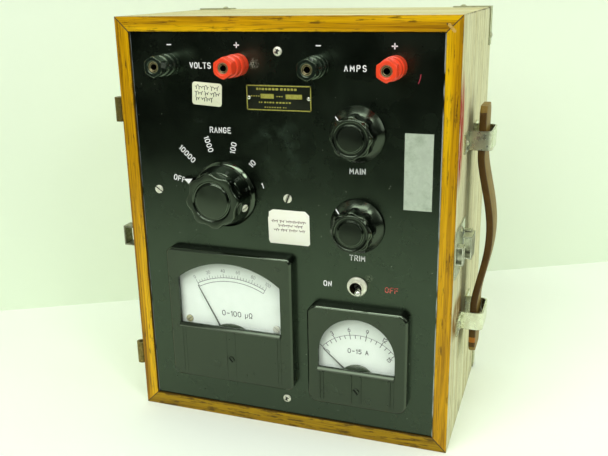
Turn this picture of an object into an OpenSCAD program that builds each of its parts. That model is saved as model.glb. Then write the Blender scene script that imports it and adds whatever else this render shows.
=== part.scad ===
// Portable microhm meter in a wooden case: black front panel with two moving coil meters,
// binding posts, a range switch, two rheostats and a toggle switch.
// Millimetres. +X right, +Y to the back, +Z up. Origin at the middle of the bottom face.

/* [Case] */
// Width of the wooden case
case_w = 304.8; // [296:0.1:320]
// Height of the wooden case
case_h = 381; // [372:0.5:400]
// Depth of the wooden case
case_d = 187; // [180:0.5:205]
// Thickness of the case boards
board_t = 12.7; // [12:0.1:14]
// Thickness of the back board
back_t = 6; // [4:0.5:9]
// Height of the top and bottom panel cleats
cleat_h = 20; // [19:0.5:21]
// Width of the side panel cleats
side_cleat_w = 10; // [6:0.5:14]
// Depth of the panel cleats
cleat_d = 14; // [10:0.5:20]

/* [Corner straps] */
// Length of each arm of a rear corner strap
strap_arm = 35; // [30:0.5:45]
// Width of a corner strap
strap_w = 14; // [10:0.5:18]
// Thickness of the corner straps
strap_t = 1.2; // [0.8:0.1:1.5]
// Distance from the back face to a corner strap
strap_back = 3; // [1:0.5:8]
// Distance from the corner to a strap's screw
strap_screw = 26; // [20:0.5:28]

/* [Case screws] */
// Shank radius of the round-head case screws
wood_screw_r = 1.5; // [1.2:0.1:1.8]
// Head radius of the case screws
wood_head_r = 3.1; // [2.6:0.1:3.6]
// Head height of the case screws
wood_head_h = 1.6; // [1.2:0.1:1.8]
// Length of the case screws under the head
wood_screw_l = 9; // [7:0.5:10]

/* [Lid hinge halves] */
// Height of the upper hinge half above the base
hinge_hi_z = 299; // [280:1:310]
// Height of the lower hinge half above the base
hinge_lo_z = 54; // [45:1:70]
// Length of a hinge barrel
hinge_l = 22; // [18:0.5:28]
// Radius of a hinge barrel
hinge_r = 4.5; // [3.8:0.1:5.5]
// Radius of the bore that takes the lid's hinge pin
hinge_bore_r = 2; // [1.5:0.05:2.5]
// Thickness of a hinge leaf
leaf_t = 1.5; // [1:0.1:2]
// Length of a hinge leaf along the side
leaf_l = 30; // [24:0.5:40]
// Distance of the side hardware from the front edge of the case
hardware_inset = 3; // [1:0.5:6]

/* [Stay loop] */
// Height of the stay loop above the base
stay_z = 177; // [150:1:200]
// Clear height inside the stay loop
stay_gap_h = 16; // [12:0.5:22]
// Clear depth inside the stay loop, out from its plate
stay_gap_w = 9; // [6:0.5:12]
// Width of the stay loop's band
stay_band = 12; // [8:0.5:15]
// Thickness of the stay loop's metal
stay_t = 1.5; // [1:0.1:2]
// Length of the stay loop's plate behind the band
stay_tail = 14; // [12:0.5:20]

/* [Handle] */
// Height of the upper handle loop
loop_hi_z = 276; // [262:1:290]
// Height of the lower handle loop
loop_lo_z = 110; // [95:1:125]
// Height of a handle loop's band
loop_h = 16.5; // [12:0.5:20]
// Clear gap of a handle loop, out from the side
loop_gap = 19.5; // [16:0.5:24]
// Thickness of the loop metal
loop_t = 1.5; // [1:0.1:2]
// Length of a loop's flange
loop_flange = 19; // [14:0.5:24]
// Inner corner radius of a loop
loop_bend = 4; // [2:0.5:6]
// Distance from the front face to the strap
handle_front = 50; // [46:0.5:60]
// Width of the leather strap
handle_w = 36; // [24:0.5:44]
// Thickness of the leather strap
handle_t = 6; // [4:0.5:8]
// Distance from the side to the strap where it passes the loops
handle_off = 9; // [6:0.5:11]
// How far the strap bows out between the loops
handle_bow = 10.5; // [4:0.5:25]
// Length of the strap past each loop
handle_tail = 22; // [14:0.5:30]
// Travel of the strap in its loops, each way
handle_travel = 6; // [2:0.5:10]
// Gap between the strap's edges and the loops
handle_gap = 0.4; // [0.3:0.1:2]

/* [Catch] */
// Height of the middle of the catch
catch_z = 187; // [175:1:200]
// Thickness of the catch plate
catch_t = 1.2; // [1:0.1:1.5]
// Clear gap of the catch slot, out from the plate
catch_gap = 4.6; // [4.2:0.1:6]
// Clear height of the catch slot
catch_slot_h = 13.6; // [10:0.2:18]
// Depth of the catch slot's bridge
catch_bridge = 10; // [6:0.5:12]
// Height of the catch flap
flap_h = 20; // [16:0.5:24]
// How far the catch flap stands out from its plate
flap_out = 9.6; // [7:0.2:12]
// Length of the catch flap
flap_l = 20; // [16:0.5:26]
// Radius of the catch flap's pivot pins
flap_pin_r = 1.5; // [1.2:0.1:1.8]
// Thickness of the ears that carry the flap
ear_t = 1.5; // [1:0.1:2]
// Distance of the flap's pivot out from the catch plate
flap_pivot_out = 4.2; // [4:0.1:5]
// Distance of the flap's pivot from its rear end
flap_pivot_in = 2.5; // [2:0.1:3]
// Distance between the catch's bridge and its flap
flap_behind = 14; // [8:0.5:18]
// Gap between the closed flap and the catch plate
flap_gap = 1.4; // [1.2:0.1:1.8]
// Length of the catch plate behind the flap
catch_tail = 4; // [2:0.5:8]
// Distance of the catch's screws above and below the ears
catch_screw_room = 2; // [1:0.5:6]

/* [Panel] */
// Thickness of the front panel
panel_t = 3.2; // [2.4:0.1:4]
// Distance of the panel's face behind the front edge of the case
panel_recess = 2; // [1:0.1:4]
// Gap between the panel and the case boards
panel_gap = 0.4; // [0.2:0.1:1]
// Shank radius of the panel screws
panel_screw_r = 2; // [1.6:0.1:2.2]
// Head radius of the panel screws
panel_head_r = 3.9; // [3.4:0.1:4.4]
// Head height of the panel screws
panel_head_h = 1.8; // [1.4:0.1:2.4]
// Length of the panel screws under the head
panel_screw_l = 15; // [12:0.5:17]
// Width of the driver slots in the panel screws
driver_w = 1.1; // [0.8:0.1:1.4]
// Distance of the upper and lower panel screws from the case boards
panel_screw_in = 15.9; // [10:0.1:18]
// Width of the nameplate
nameplate_w = 59; // [50:0.5:64]
// Height of the nameplate
nameplate_h = 22; // [18:0.5:26]
// Distance of the nameplate's middle from the top of the case
nameplate_drop = 67.2; // [62:0.2:72]
// Thickness of the nameplate and the tag
plate_t = 0.8; // [0.5:0.1:1.2]
// Width of the metal tag
tag_w = 23.5; // [18:0.5:26]
// Height of the metal tag
tag_h = 64.3; // [50:0.1:70]
// Distance of the tag's middle from the right edge of the panel
tag_x = 18.8; // [15:0.1:23]
// Height of the tag's middle above the base
tag_z = 256.5; // [245:0.5:265]

/* [Binding posts] */
// Distance of the inner posts from the middle of the panel
post_in_x = 36; // [32:0.5:42]
// Distance of the outer posts from the middle of the panel
post_out_x = 100; // [94:0.5:106]
// Distance of the posts from the top of the case
post_drop = 40; // [37:0.5:44]
// Outer radius of the base collar and of the cap's flange
post_r = 9.5; // [9:0.1:11]
// Height of the base collar
post_base_h = 5; // [3:0.5:7]
// Length of the cap
cap_l = 27; // [24:0.5:30]
// Corner radius of the cap's hex end
cap_hex_r = 9.2; // [8:0.1:10]
// Length of the cap's hex end
cap_hex_l = 9.5; // [7:0.5:13]
// Radius of the grooves round the cap
cap_groove_r = 7.8; // [6.5:0.1:8]
// Width of a groove round the cap
cap_groove_w = 1.8; // [1:0.1:2.6]
// Outer radius of the metal insert
insert_r = 4.5; // [4.2:0.1:5.2]
// Outer radius of the hollow stud
stud_r = 3.2; // [3:0.05:3.4]
// Radius of the socket in the stud, for a 4 mm plug
jack_r = 2.05; // [2.02:0.01:2.2]
// Depth of the socket in the stud
jack_l = 22; // [16:0.5:26]
// Distance of the stud's end behind the cap's end
stud_sunk = 1.5; // [1:0.5:6]
// Distance of the insert's end behind the cap's end
insert_sunk = 5; // [2:0.5:8]
// Length of the stud behind the panel
stud_tail = 14; // [11:0.5:18]
// Corner radius of the terminal nuts
nut_r = 5.6; // [5:0.1:6.5]
// Thickness of the terminal nuts
nut_t = 4; // [3:0.5:5]
// Gap between the two nuts on a stud
nut_gap = 1; // [0.5:0.5:2]

/* [Shafts] */
// Radius of the control shafts
shaft_r = 3.175; // [3:0.025:3.4]
// Radius of the threaded bushes
bush_r = 4.75; // [4.5:0.05:5.2]
// Corner radius of the bush nuts
bush_nut_r = 8; // [7:0.1:9]
// Thickness of the bush nuts
bush_nut_t = 3; // [2:0.1:3.5]
// Radius of the bush's rear flange
bush_flange_r = 9; // [8:0.5:11]
// Thickness of the bush's rear flange
bush_flange_t = 4; // [3:0.5:5]
// Length of the bush in front of its nut
bush_end = 1.5; // [0.5:0.1:2]
// Gap between the knobs and the panel
knob_lift = 0.8; // [0.4:0.1:1.5]
// Room round the bush and its nut inside a knob
knob_room = 2; // [1:0.1:3]

/* [Range switch] */
// Distance of the range knob from the left side of the case
range_x = 98.4; // [92.4:0.1:102.4]
// Height of the range knob above the base
range_z = 226.5; // [222:0.5:232]
// Radius of the range knob's foot
range_flange_r = 30; // [28:0.5:32]
// Thickness of the range knob's foot below its taper
range_flange_t = 3; // [2.2:0.1:4]
// Length of the fluted part at the front of the range knob
range_lobe_l = 9; // [7:0.5:11]
// Radius over the lobes of the range knob
range_r = 25; // [22:0.5:27]
// Depth of the flutes in the range knob
range_flute = 2.4; // [1:0.1:3]
// Height of the range knob above the panel
range_l = 29; // [24:0.5:34]
// Radius of the sunk disc in the range knob's face
range_disc_r = 18.5; // [14:0.5:19]
// Depth of the sunk disc in the range knob's face
range_disc_d = 1.4; // [0.8:0.1:2.5]
// Number of lobes round every knob
lobes = 8; // [6:1:10]
// Reach of the pointer tip from the knob's middle
range_tip = 42; // [38:0.5:44]
// Angle of the pointer tip above the left, at the off position
range_tip_deg = 17; // [5:1:30]
// Radius of the knob's set screw
set_screw_r = 2.8; // [2:0.1:3.2]
// Angle of the set screw below the right, at the off position
set_screw_deg = 17; // [5:1:30]
// Angle between two positions of the range switch
range_step_deg = 30; // [24:1:32]
// Distance from the left deck screw to the range shaft
deck_left = 67; // [62:0.5:72]
// Distance from the range shaft to the right deck screw
deck_right = 60; // [56:0.5:66]
// Height of the switch deck
deck_h = 64; // [58:1:72]
// Thickness of the switch deck
deck_t = 3; // [2:0.5:4]
// Distance of the switch deck behind the panel
deck_gap = 30; // [24:1:36]
// Radius of the circle of contact studs
contact_ring_r = 22; // [18:0.5:23]
// Radius of a contact stud
contact_r = 3; // [2.5:0.1:4]
// Height of a contact stud's head
contact_h = 1.2; // [0.8:0.1:2]
// Number of switch positions
positions = 6; // [3:1:7]
// Thickness of the contact arm
arm_t = 1.5; // [1:0.1:2.5]
// Width of the contact arm
arm_w = 7; // [5:0.5:8]
// Radius of a range resistor's spool
spool_r = 6.5; // [4:0.5:6.5]
// Length of a range resistor's spool
spool_l = 22; // [14:1:30]
// Distance between neighbouring spools
spool_pitch = 14; // [13.5:0.5:16]

/* [Rheostats] */
// Distance of both rheostats and of the toggle right of the middle of the panel
control_x = 69; // [66:0.5:72]
// Place of the coarse knob on the way up from the ampere meter (0) to the binding posts (1)
coarse_z = 0.7365; // [0.708:0.0005:0.765]
// Place of the fine knob on that way
fine_z = 0.3557; // [0.335:0.0001:0.377]
// Radius of a knob's skirt
skirt_r = 24; // [22:0.5:26]
// Height of a knob's skirt
skirt_h = 12; // [10:0.5:14]
// Radius over the lobes of a knob's cap
grip_r = 18.2; // [17:0.1:19.4]
// Radius of the face of a knob's cap
grip_face_r = 14.6; // [13.6:0.1:15.2]
// Length of the slope from the lobes to the face
grip_slope = 3; // [2:0.1:4]
// Depth of the flutes in a knob's cap
grip_flute = 1.6; // [0.8:0.1:2.2]
// Height of the knobs above the panel
grip_l = 24; // [20:0.5:28]
// Depth of the groove in the face of a knob's cap
grip_groove = 1.2; // [0.5:0.1:2]
// Outer radius of a rheostat's winding
winding_r = 28; // [24:0.5:32]
// Width of the winding ring
winding_w = 10; // [7:0.5:12]
// Depth of the winding ring
winding_d = 20; // [14:0.5:26]
// Thickness of a rheostat's base plate
winding_base = 2; // [1.5:0.1:3]
// Thickness of a rheostat's wiper
wiper_t = 2; // [1:0.1:3]
// Angle of the wiper and of the index line from the right, at rest
index_deg = 148; // [0:1:180]

/* [Toggle] */
// Place of the toggle on the way up from the ampere meter (0) to the binding posts (1)
toggle_z = 0.0898; // [0.071:0.0001:0.109]
// Radius of the ring nut
ring_nut_r = 9; // [8.5:0.1:10.5]
// Thickness of the ring nut
ring_nut_t = 2.6; // [2:0.1:3.5]
// Radius of the toggle's bush
toggle_bush_r = 5.9; // [5.6:0.1:6.4]
// Length of the bush in front of the panel
toggle_bush_l = 6; // [4.5:0.5:7]
// Radius of the lever's pivot ball
toggle_ball_r = 3; // [2.6:0.1:3.2]
// Length of the lever
toggle_l = 19; // [16:0.5:22]
// Radius of the lever's tip
toggle_tip_r = 3; // [2.4:0.1:3.4]
// Lean of the lever from straight out, each way
toggle_lean = 17; // [8:0.5:18]
// Width of the switch body
toggle_body_w = 28; // [24:0.5:34]
// Height of the switch body
toggle_body_h = 14; // [13:0.5:16]
// Depth of the switch body
toggle_body_d = 22; // [16:0.5:28]

/* [Meters] */
// Depth of the meter covers in front of the panel
cover_d = 10; // [9:0.5:13]
// Wall of the meter covers
cover_wall = 3; // [2:0.1:4]
// Front wall of the meter covers
cover_front = 2.5; // [2:0.1:3]
// Bevel round the front of the meter covers
cover_bevel = 1.8; // [1:0.1:2.5]
// Height of the bar under the window
bar_h = 5; // [3.5:0.1:6]
// How far the bar stands out
bar_out = 2.6; // [1.5:0.1:3.5]
// Width of the ribs below the bar
rib_w = 1.2; // [0.8:0.1:2]
// How far the ribs stand out
rib_out = 0.5; // [0.3:0.1:0.8]
// Distance of the middle ribs from the middle of a meter
rib_pair = 5; // [4:0.5:8]
// Thickness of the glass
glass_t = 1.5; // [1:0.1:2]
// Thickness of the can's flange
can_flange_t = 1.5; // [1:0.1:2]
// Thickness of the dial plate
dial_t = 0.6; // [0.4:0.1:0.8]
// Distance of the pointers in front of the dials
pointer_lift = 1.2; // [0.9:0.1:1.6]
// How far the cut for the coil reaches above the sill of the ohm meter's dial
ohm_dial_cut = 3; // [2:0.5:6]
// How far that cut reaches above the sill of the ampere meter's dial
amp_dial_cut = 5; // [3:0.5:8]
// Width of the bridge over a meter's magnet
bridge_w = 5; // [4:0.5:7]
// Wall of the meter cans
can_wall = 2.5; // [2:0.1:3]
// Depth of the meter cans behind the panel
can_d = 42; // [36:0.5:50]
// Radius of a moving coil's staff
staff_r = 1; // [0.8:0.05:1.2]
// Radius of a zero adjuster's head
zero_r = 3; // [2.5:0.1:3.5]
// Distance of a zero adjuster below the pointer's pivot
zero_drop = 7.5; // [7:0.5:10]
// Distance of the meter studs from the middle of a meter
meter_stud_x = 14; // [12:0.5:16]
// Radius of the meter studs
meter_stud_r = 2.5; // [2:0.1:3]
// Length of the meter studs behind a can
meter_stud_l = 12; // [8:0.5:16]

/* [Left meter] */
// Distance of the left meter's middle left of the middle of the panel
ohm_x = 52; // [50:0.5:56]
// Height of the left meter's middle
ohm_z = 107.8; // [104:0.2:112]
// Width of the left meter's cover
ohm_w = 124.5; // [116:0.5:128]
// Height of the left meter's cover
ohm_h = 130.5; // [126:0.5:136]
// Corner radius of the left meter's cover
ohm_corner = 6; // [4:0.5:10]
// Width of the left meter's window
ohm_win_w = 102; // [90:0.5:106]
// Height of the window's shoulders above the meter's middle
ohm_shoulder = 36.5; // [30:0.5:42]
// Height of the window's crown above the meter's middle
ohm_crown = 54.5; // [48:0.5:56]
// Distance of the window's lower edge below the meter's middle
ohm_sill = 11; // [9:0.5:14]
// Distance of the pointer's pivot below the meter's middle
ohm_pivot = 34; // [30:0.5:36]
// Length of the left meter's pointer
ohm_pointer_l = 71; // [64:0.5:76]
// Half of the scale's angle
ohm_half_deg = 28; // [20:1:32]
// Outer radius of the left can
ohm_can_r = 46; // [44:0.5:48]
// Distance of the left can's middle below the meter's middle
ohm_can_y = 15; // [12:0.5:16]
// Outer radius of the left magnet
ohm_magnet_r = 20; // [17:0.5:21]

/* [Right meter] */
// Distance of the right meter's middle right of the middle of the panel
amp_x = 70.5; // [68:0.5:73]
// Height of the right meter's middle
amp_z = 84; // [80:0.5:86]
// Width of the right meter's cover
amp_w = 92; // [86:0.5:96]
// Height of the right meter's cover
amp_h = 96.5; // [90:0.5:100]
// Corner radius of the right meter's cover
amp_corner = 9; // [6:0.5:12]
// Radius of the right meter's round window
amp_win_r = 35.2; // [31:0.2:37]
// Height of the round window's centre above the meter's middle
amp_win_y = 3.6; // [2:0.2:5]
// Distance of the window's lower edge below the meter's middle
amp_sill = 13; // [10:0.5:15]
// Distance of the pointer's pivot below the meter's middle
amp_pivot = 24; // [20:0.5:25]
// Length of the right meter's pointer
amp_pointer_l = 43.5; // [38:0.5:48]
// Half of the scale's angle
amp_half_deg = 48.5; // [40:0.5:52]
// Outer radius of the right can
amp_can_r = 34; // [32:0.5:36]
// Distance of the right can's middle below the meter's middle
amp_can_y = 8; // [6:0.5:10]
// Outer radius of the right magnet
amp_magnet_r = 14; // [12:0.5:14.5]

/* [Cells] */
// Radius of a dry cell
cell_r = 32; // [28:0.5:34]
// Height of a dry cell
cell_h = 150; // [120:1:160]
// Distance of each cell from the middle of the case
cell_x = 40; // [36:0.5:60]
// Height of the clamp above the case's floor
clamp_z = 80; // [40:1:110]
// Height of the clamp's band
clamp_h = 20; // [12:1:30]
// Thickness of the clamp's band
clamp_t = 1.2; // [0.8:0.1:2]
// Height of a cell's terminals
cell_post_h = 8; // [6:0.5:12]
// Radius of the leads
lead_r = 1.2; // [0.8:0.1:1.6]

/* [Fits] */
// Radial clearance of a shaft or pin in its hole
run = 0.05; // [0.02:0.01:0.08]
// Gap between two pieces that move past each other
slip = 0.3; // [0.2:0.05:0.5]
// Radial clearance of a fixed piece in its hole
loose = 0.1; // [0.02:0.01:0.3]

/* [Hidden] */
$fn = 48;
eps = 0.5;

oak = "#B98A1E";
steel = "#B9BDB2";
brass = "#B08D3C";
bakelite = "#1C211C";
phenolic = "#3A2A1C";
black = "#15160F";
red = "#C8231C";
leather = "#6B4423";

// Places that follow from the sizes
half_w = case_w/2;
front_y = -case_d/2;
back_y = case_d/2;
panel_y = front_y + panel_recess;
panel_w = case_w - 2*board_t - 2*panel_gap;
panel_h = case_h - 2*board_t - 2*panel_gap;
inner_w = case_w - 2*board_t;
inner_h = case_h - 2*board_t;
post_z = case_h - post_drop;
post_x = [-post_out_x, -post_in_x, post_in_x, post_out_x];
range_at = range_x - half_w;
column_foot = amp_z + amp_h/2;
column_h = post_z - column_foot;
coarse_at = column_foot + coarse_z*column_h;
fine_at = column_foot + fine_z*column_h;
toggle_at = column_foot + toggle_z*column_h;
behind = -panel_t;

// Frame of a piece on the panel: local x to the right, local y up, local z out of the panel
module at_panel(x, z, out = 0) {
    translate([x, panel_y - out, z]) rotate([90, 0, 0]) children();
}

// Rounded rectangle about the origin
module rounded(w, h, r) {
    square([w - 2*r, h], center = true);
    square([w, h - 2*r], center = true);
    for (x = [-1, 1], y = [-1, 1]) translate([x*(w/2 - r), y*(h/2 - r)]) circle(r);
}

// Flat ring from z = 0 up
module ring(r_out, r_in, t) {
    difference() {
        cylinder(r = r_out, h = t);
        translate([0, 0, -eps]) cylinder(r = r_in, h = t + 2*eps);
    }
}

// Hex nut from z = 0 up
module hex_nut(r, r_in, t) {
    difference() {
        cylinder(r = r, h = t, $fn = 6);
        translate([0, 0, -eps]) cylinder(r = r_in, h = t + 2*eps);
    }
}

// Round screw head from z = 0 up, cut by the driver slots that the children give
module screw_head(r, h) {
    ball_r = (r*r + h*h)/(2*h);
    intersection() {
        translate([0, 0, h - ball_r]) sphere(ball_r);
        cylinder(r = r, h = h);
    }
}

// Case screws: the seat of each head and the way it faces
strap_sink = strap_t + wood_head_h + loose;
strap_mid = back_y - strap_back - strap_w/2;
top_sites = [for (s = [-1, 1]) [[s*(half_w - strap_screw), strap_mid, case_h + strap_t], [0, 0, 0]]];
bottom_sites = [for (s = [-1, 1]) [[s*(half_w - strap_screw), strap_mid, wood_head_h + loose], [180, 0, 0]]];
side_strap_sites = [for (s = [-1, 1], z = [strap_sink + strap_screw, case_h - strap_screw])
    [[s*(half_w + strap_t), strap_mid, z], [0, s*90, 0]]];
hinge_leaf_y = front_y + hinge_r + loose;
hinge_sites = [for (z = [hinge_hi_z, hinge_lo_z], u = [0.45, 0.8])
    [[-half_w - leaf_t, hinge_leaf_y + u*leaf_l, z], [0, -90, 0]]];
stay_y = front_y + hardware_inset;
stay_l = stay_band + stay_tail;
stay_sites = [for (s = [-1, 1])
    [[-half_w - stay_t, stay_y + stay_band + stay_tail/2, stay_z + s*stay_gap_h/3], [0, -90, 0]]];
loop_y0 = front_y + handle_front - handle_gap - loop_t;
loop_y1 = front_y + handle_front + handle_w + handle_gap + loop_t;
loop_sites = [for (z = [loop_hi_z, loop_lo_z], y = [loop_y0 - loop_flange/2, loop_y1 + loop_flange/2])
    [[half_w + loop_t, y, z], [0, 90, 0]]];
catch_y = front_y + hardware_inset;
catch_l = catch_bridge + flap_behind + flap_l + catch_tail;
catch_screw_z = flap_h/2 + slip + ear_t + catch_screw_room + wood_head_r;
catch_h = 2*(catch_screw_z + wood_head_r + catch_screw_room/2);
flap_y = catch_y + catch_bridge + flap_behind;
pivot_x = half_w + catch_t + flap_pivot_out;
pivot_y = flap_y + flap_l - flap_pivot_in;
catch_sites = [for (s = [-1, 1]) [[half_w + catch_t, flap_y, catch_z + s*catch_screw_z], [0, 90, 0]]];
screw_sites = concat(top_sites, bottom_sites, side_strap_sites, hinge_sites, stay_sites, loop_sites,
    catch_sites);

module at_site(s) {
    translate(s[0]) rotate(s[1]) children();
}

// Holes for the case screws, in wood or in the hardware
module screw_holes(clear) {
    for (s = screw_sites) at_site(s) translate([0, 0, -wood_screw_l - loose])
        cylinder(r = wood_screw_r + clear, h = wood_screw_l + loose + eps);
}

// Room for the lower arms of the bottom corner straps
module strap_rebate() {
    for (s = [-1, 1])
        translate([s*(half_w - strap_arm/2 + eps), strap_mid, strap_sink/2 - eps/2])
            cube([strap_arm + 2*eps, strap_w + 2*loose, strap_sink + eps], center = true);
}

// Case board lying along X with its outer face up at z = 0 and mitred ends
module mitred_board(l) {
    translate([0, back_y, 0]) rotate([90, 0, 0]) linear_extrude(case_d)
        polygon([[-l/2, 0], [l/2, 0], [l/2 - board_t, -board_t], [-l/2 + board_t, -board_t]]);
}

module bored_board() {
    difference() {
        children();
        screw_holes(loose/5);
        strap_rebate();
    }
}

module case_top() {
    color(oak) bored_board() translate([0, 0, case_h]) mitred_board(case_w);
}

module case_bottom() {
    color(oak) bored_board() rotate([0, 180, 0]) mitred_board(case_w);
}

module case_left() {
    color(oak) bored_board() translate([-half_w, 0, case_h/2]) rotate([0, -90, 0]) mitred_board(case_h);
}

module case_right() {
    color(oak) bored_board() translate([half_w, 0, case_h/2]) rotate([0, 90, 0]) mitred_board(case_h);
}

module case_back() {
    color(oak) translate([-inner_w/2, back_y - back_t, board_t]) cube([inner_w, back_t, inner_h]);
}

panel_screw_z = [board_t + panel_screw_in, case_h - board_t - panel_screw_in];
deck_screw_x = [range_at - deck_left, range_at + deck_right];

module panel_screw_sites() {
    for (z = panel_screw_z) at_panel(0, z) children();
    for (x = deck_screw_x) at_panel(x, range_z) children();
}

module panel_cleats() {
    color(oak) difference() {
        for (z = [board_t, case_h - board_t - cleat_h])
            translate([-inner_w/2, panel_y + panel_t, z]) cube([inner_w, cleat_d, cleat_h]);
        for (z = panel_screw_z) at_panel(0, z) translate([0, 0, -panel_screw_l - loose])
            cylinder(r = panel_screw_r + loose/5, h = panel_screw_l + eps);
    }
    color(oak) for (x = [-inner_w/2, inner_w/2 - side_cleat_w])
        translate([x, panel_y + panel_t, board_t + cleat_h])
            cube([side_cleat_w, cleat_d, inner_h - 2*cleat_h]);
}

// Corner strap with its corner at the origin and its arms towards -X and -Z
module corner_strap() {
    translate([0, back_y - strap_back, 0]) rotate([90, 0, 0]) linear_extrude(strap_w)
        polygon([[-strap_arm, 0], [-strap_arm, strap_t], [strap_t, strap_t], [strap_t, -strap_arm],
            [0, -strap_arm], [0, 0]]);
}

module corner_straps() {
    color(steel) difference() {
        for (s = [0, 1]) mirror([s, 0, 0]) {
            translate([half_w, 0, case_h]) corner_strap();
            translate([half_w, 0, strap_sink]) mirror([0, 0, 1]) corner_strap();
        }
        screw_holes(loose);
    }
}

module case_screws() {
    color(steel) for (s = screw_sites) at_site(s) {
        difference() {
            screw_head(wood_head_r, wood_head_h);
            translate([-wood_head_r, -wood_head_r/8, wood_head_h/2])
                cube([2*wood_head_r, wood_head_r/4, wood_head_h]);
        }
        translate([0, 0, -wood_screw_l]) cylinder(r = wood_screw_r, h = wood_screw_l);
    }
}

module hinge_halves() {
    barrel_x = -half_w - hinge_r - loose;
    color(brass) for (z = [hinge_hi_z, hinge_lo_z]) translate([0, 0, z - hinge_l/2]) difference() {
        union() {
            translate([barrel_x, hinge_leaf_y, 0]) cylinder(r = hinge_r, h = hinge_l);
            translate([-half_w - leaf_t, hinge_leaf_y, 0]) cube([leaf_t, leaf_l, hinge_l]);
        }
        translate([barrel_x, hinge_leaf_y, -eps]) cylinder(r = hinge_bore_r, h = hinge_l + 2*eps);
        translate([0, 0, -z + hinge_l/2]) screw_holes(loose);
    }
}

module stay_loop() {
    band_h = stay_gap_h + 2*stay_t;
    band_w = stay_gap_w + stay_t;
    color(steel) difference() {
        union() {
            translate([-half_w - stay_t, stay_y, stay_z - band_h/2]) cube([stay_t, stay_l, band_h]);
            difference() {
                translate([-half_w - stay_t - band_w, stay_y, stay_z - band_h/2])
                    cube([band_w, stay_band, band_h]);
                translate([-half_w - stay_t - stay_gap_w, stay_y - eps, stay_z - stay_gap_h/2])
                    cube([stay_gap_w, stay_band + 2*eps, stay_gap_h]);
            }
        }
        screw_holes(loose);
    }
}

// Leather strap, seen from the front: straight in the loops, bowed between them
bow_lo = loop_lo_z + loop_h/2 + handle_travel;
bow_hi = loop_hi_z - loop_h/2 - handle_travel;
function strap_bow(z) = z <= bow_lo || z >= bow_hi ? 0
    : handle_bow*pow(sin(180*(z - bow_lo)/(bow_hi - bow_lo)), 1.5);
strap_lo = loop_lo_z - loop_h/2 - handle_tail;
strap_hi = loop_hi_z + loop_h/2 + handle_tail;
strap_steps = 36;
bow_points = [for (i = [0 : strap_steps]) bow_lo + (bow_hi - bow_lo)*i/strap_steps];
strap_z = concat([strap_lo], bow_points, [strap_hi]);

module handle_strap() {
    inner = [for (z = strap_z) [half_w + handle_off + strap_bow(z), z]];
    outer = [for (i = [len(strap_z) - 1 : -1 : 0])
        [half_w + handle_off + handle_t + strap_bow(strap_z[i]), strap_z[i]]];
    color(leather) translate([0, front_y + handle_front + handle_w, 0]) rotate([90, 0, 0])
        linear_extrude(handle_w) polygon(concat(inner, outer));
}

// Outline of a handle loop in plan, grown by g
module loop_outline(g) {
    y0 = loop_y0 + loop_t - g;
    y1 = loop_y1 - loop_t + g;
    r = loop_bend + g;
    x1 = half_w + loop_gap + g;
    translate([half_w - eps, y0]) square([x1 - half_w + eps - r, y1 - y0]);
    translate([half_w - eps, y0 + r]) square([x1 - half_w + eps, y1 - y0 - 2*r]);
    for (y = [y0 + r, y1 - r]) translate([x1 - r, y]) circle(r);
}

module handle_loops() {
    color(steel) for (z = [loop_hi_z, loop_lo_z]) difference() {
        translate([0, 0, z - loop_h/2]) linear_extrude(loop_h) difference() {
            union() {
                loop_outline(loop_t);
                translate([half_w, loop_y0 - loop_flange])
                    square([loop_t, loop_y1 - loop_y0 + 2*loop_flange]);
            }
            loop_outline(0);
            translate([half_w - 2*eps, loop_y0 - loop_flange - eps])
                square([2*eps, loop_y1 - loop_y0 + 2*loop_flange + 2*eps]);
        }
        screw_holes(loose);
    }
}

// Catch: plate with a slotted bridge at the front and two ears that carry the flap
module latch_plate() {
    plate_x = half_w + catch_t;
    bridge_h = catch_slot_h + 2*catch_t;
    ear_z = flap_h/2 + slip + ear_t/2;
    color(steel) difference() {
        union() {
            translate([half_w, catch_y, catch_z - catch_h/2]) cube([catch_t, catch_l, catch_h]);
            difference() {
                translate([plate_x, catch_y, catch_z - bridge_h/2])
                    cube([catch_gap + catch_t, catch_bridge, bridge_h]);
                translate([plate_x, catch_y - eps, catch_z - catch_slot_h/2])
                    cube([catch_gap, catch_bridge + 2*eps, catch_slot_h]);
            }
            for (s = [-1, 1])
                translate([plate_x, pivot_y - 2*flap_pin_r, catch_z + s*ear_z - ear_t/2])
                    cube([flap_pivot_out + 2*flap_pin_r, 4*flap_pin_r, ear_t]);
        }
        translate([pivot_x, pivot_y, catch_z - catch_h/2]) cylinder(r = flap_pin_r + run, h = catch_h);
        screw_holes(loose);
    }
}

module latch_flap() {
    plate_x = half_w + catch_t;
    color(steel) union() {
        difference() {
            translate([plate_x + flap_gap, flap_y, catch_z - flap_h/2])
                cube([flap_out - flap_gap, flap_l, flap_h]);
            translate([plate_x, flap_y - eps, catch_z - flap_h/2 + catch_t])
                cube([flap_out - catch_t, flap_l - flap_pivot_in - 2*flap_pin_r + eps, flap_h - 2*catch_t]);
        }
        translate([pivot_x, pivot_y, catch_z - flap_h/2 - slip - ear_t])
            cylinder(r = flap_pin_r, h = flap_h + 2*slip + 2*ear_t);
    }
}

module front_panel() {
    color(black) difference() {
        at_panel(0, case_h/2, -panel_t) translate([-panel_w/2, -panel_h/2, 0])
            cube([panel_w, panel_h, panel_t]);
        panel_screw_sites() through(panel_screw_r + loose);
        for (x = post_x) at_panel(x, post_z) through(stud_r + loose);
        at_panel(range_at, range_z) through(bush_r + loose);
        for (z = [coarse_at, fine_at]) at_panel(control_x, z) through(bush_r + loose);
        at_panel(control_x, toggle_at) through(toggle_bush_r + loose);
        at_panel(-ohm_x, ohm_z - ohm_can_y) through(ohm_can_r + loose);
        at_panel(amp_x, amp_z - amp_can_y) through(amp_can_r + loose);
    }
}

module through(r) {
    translate([0, 0, behind - eps]) cylinder(r = r, h = panel_t + 2*eps);
}

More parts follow.
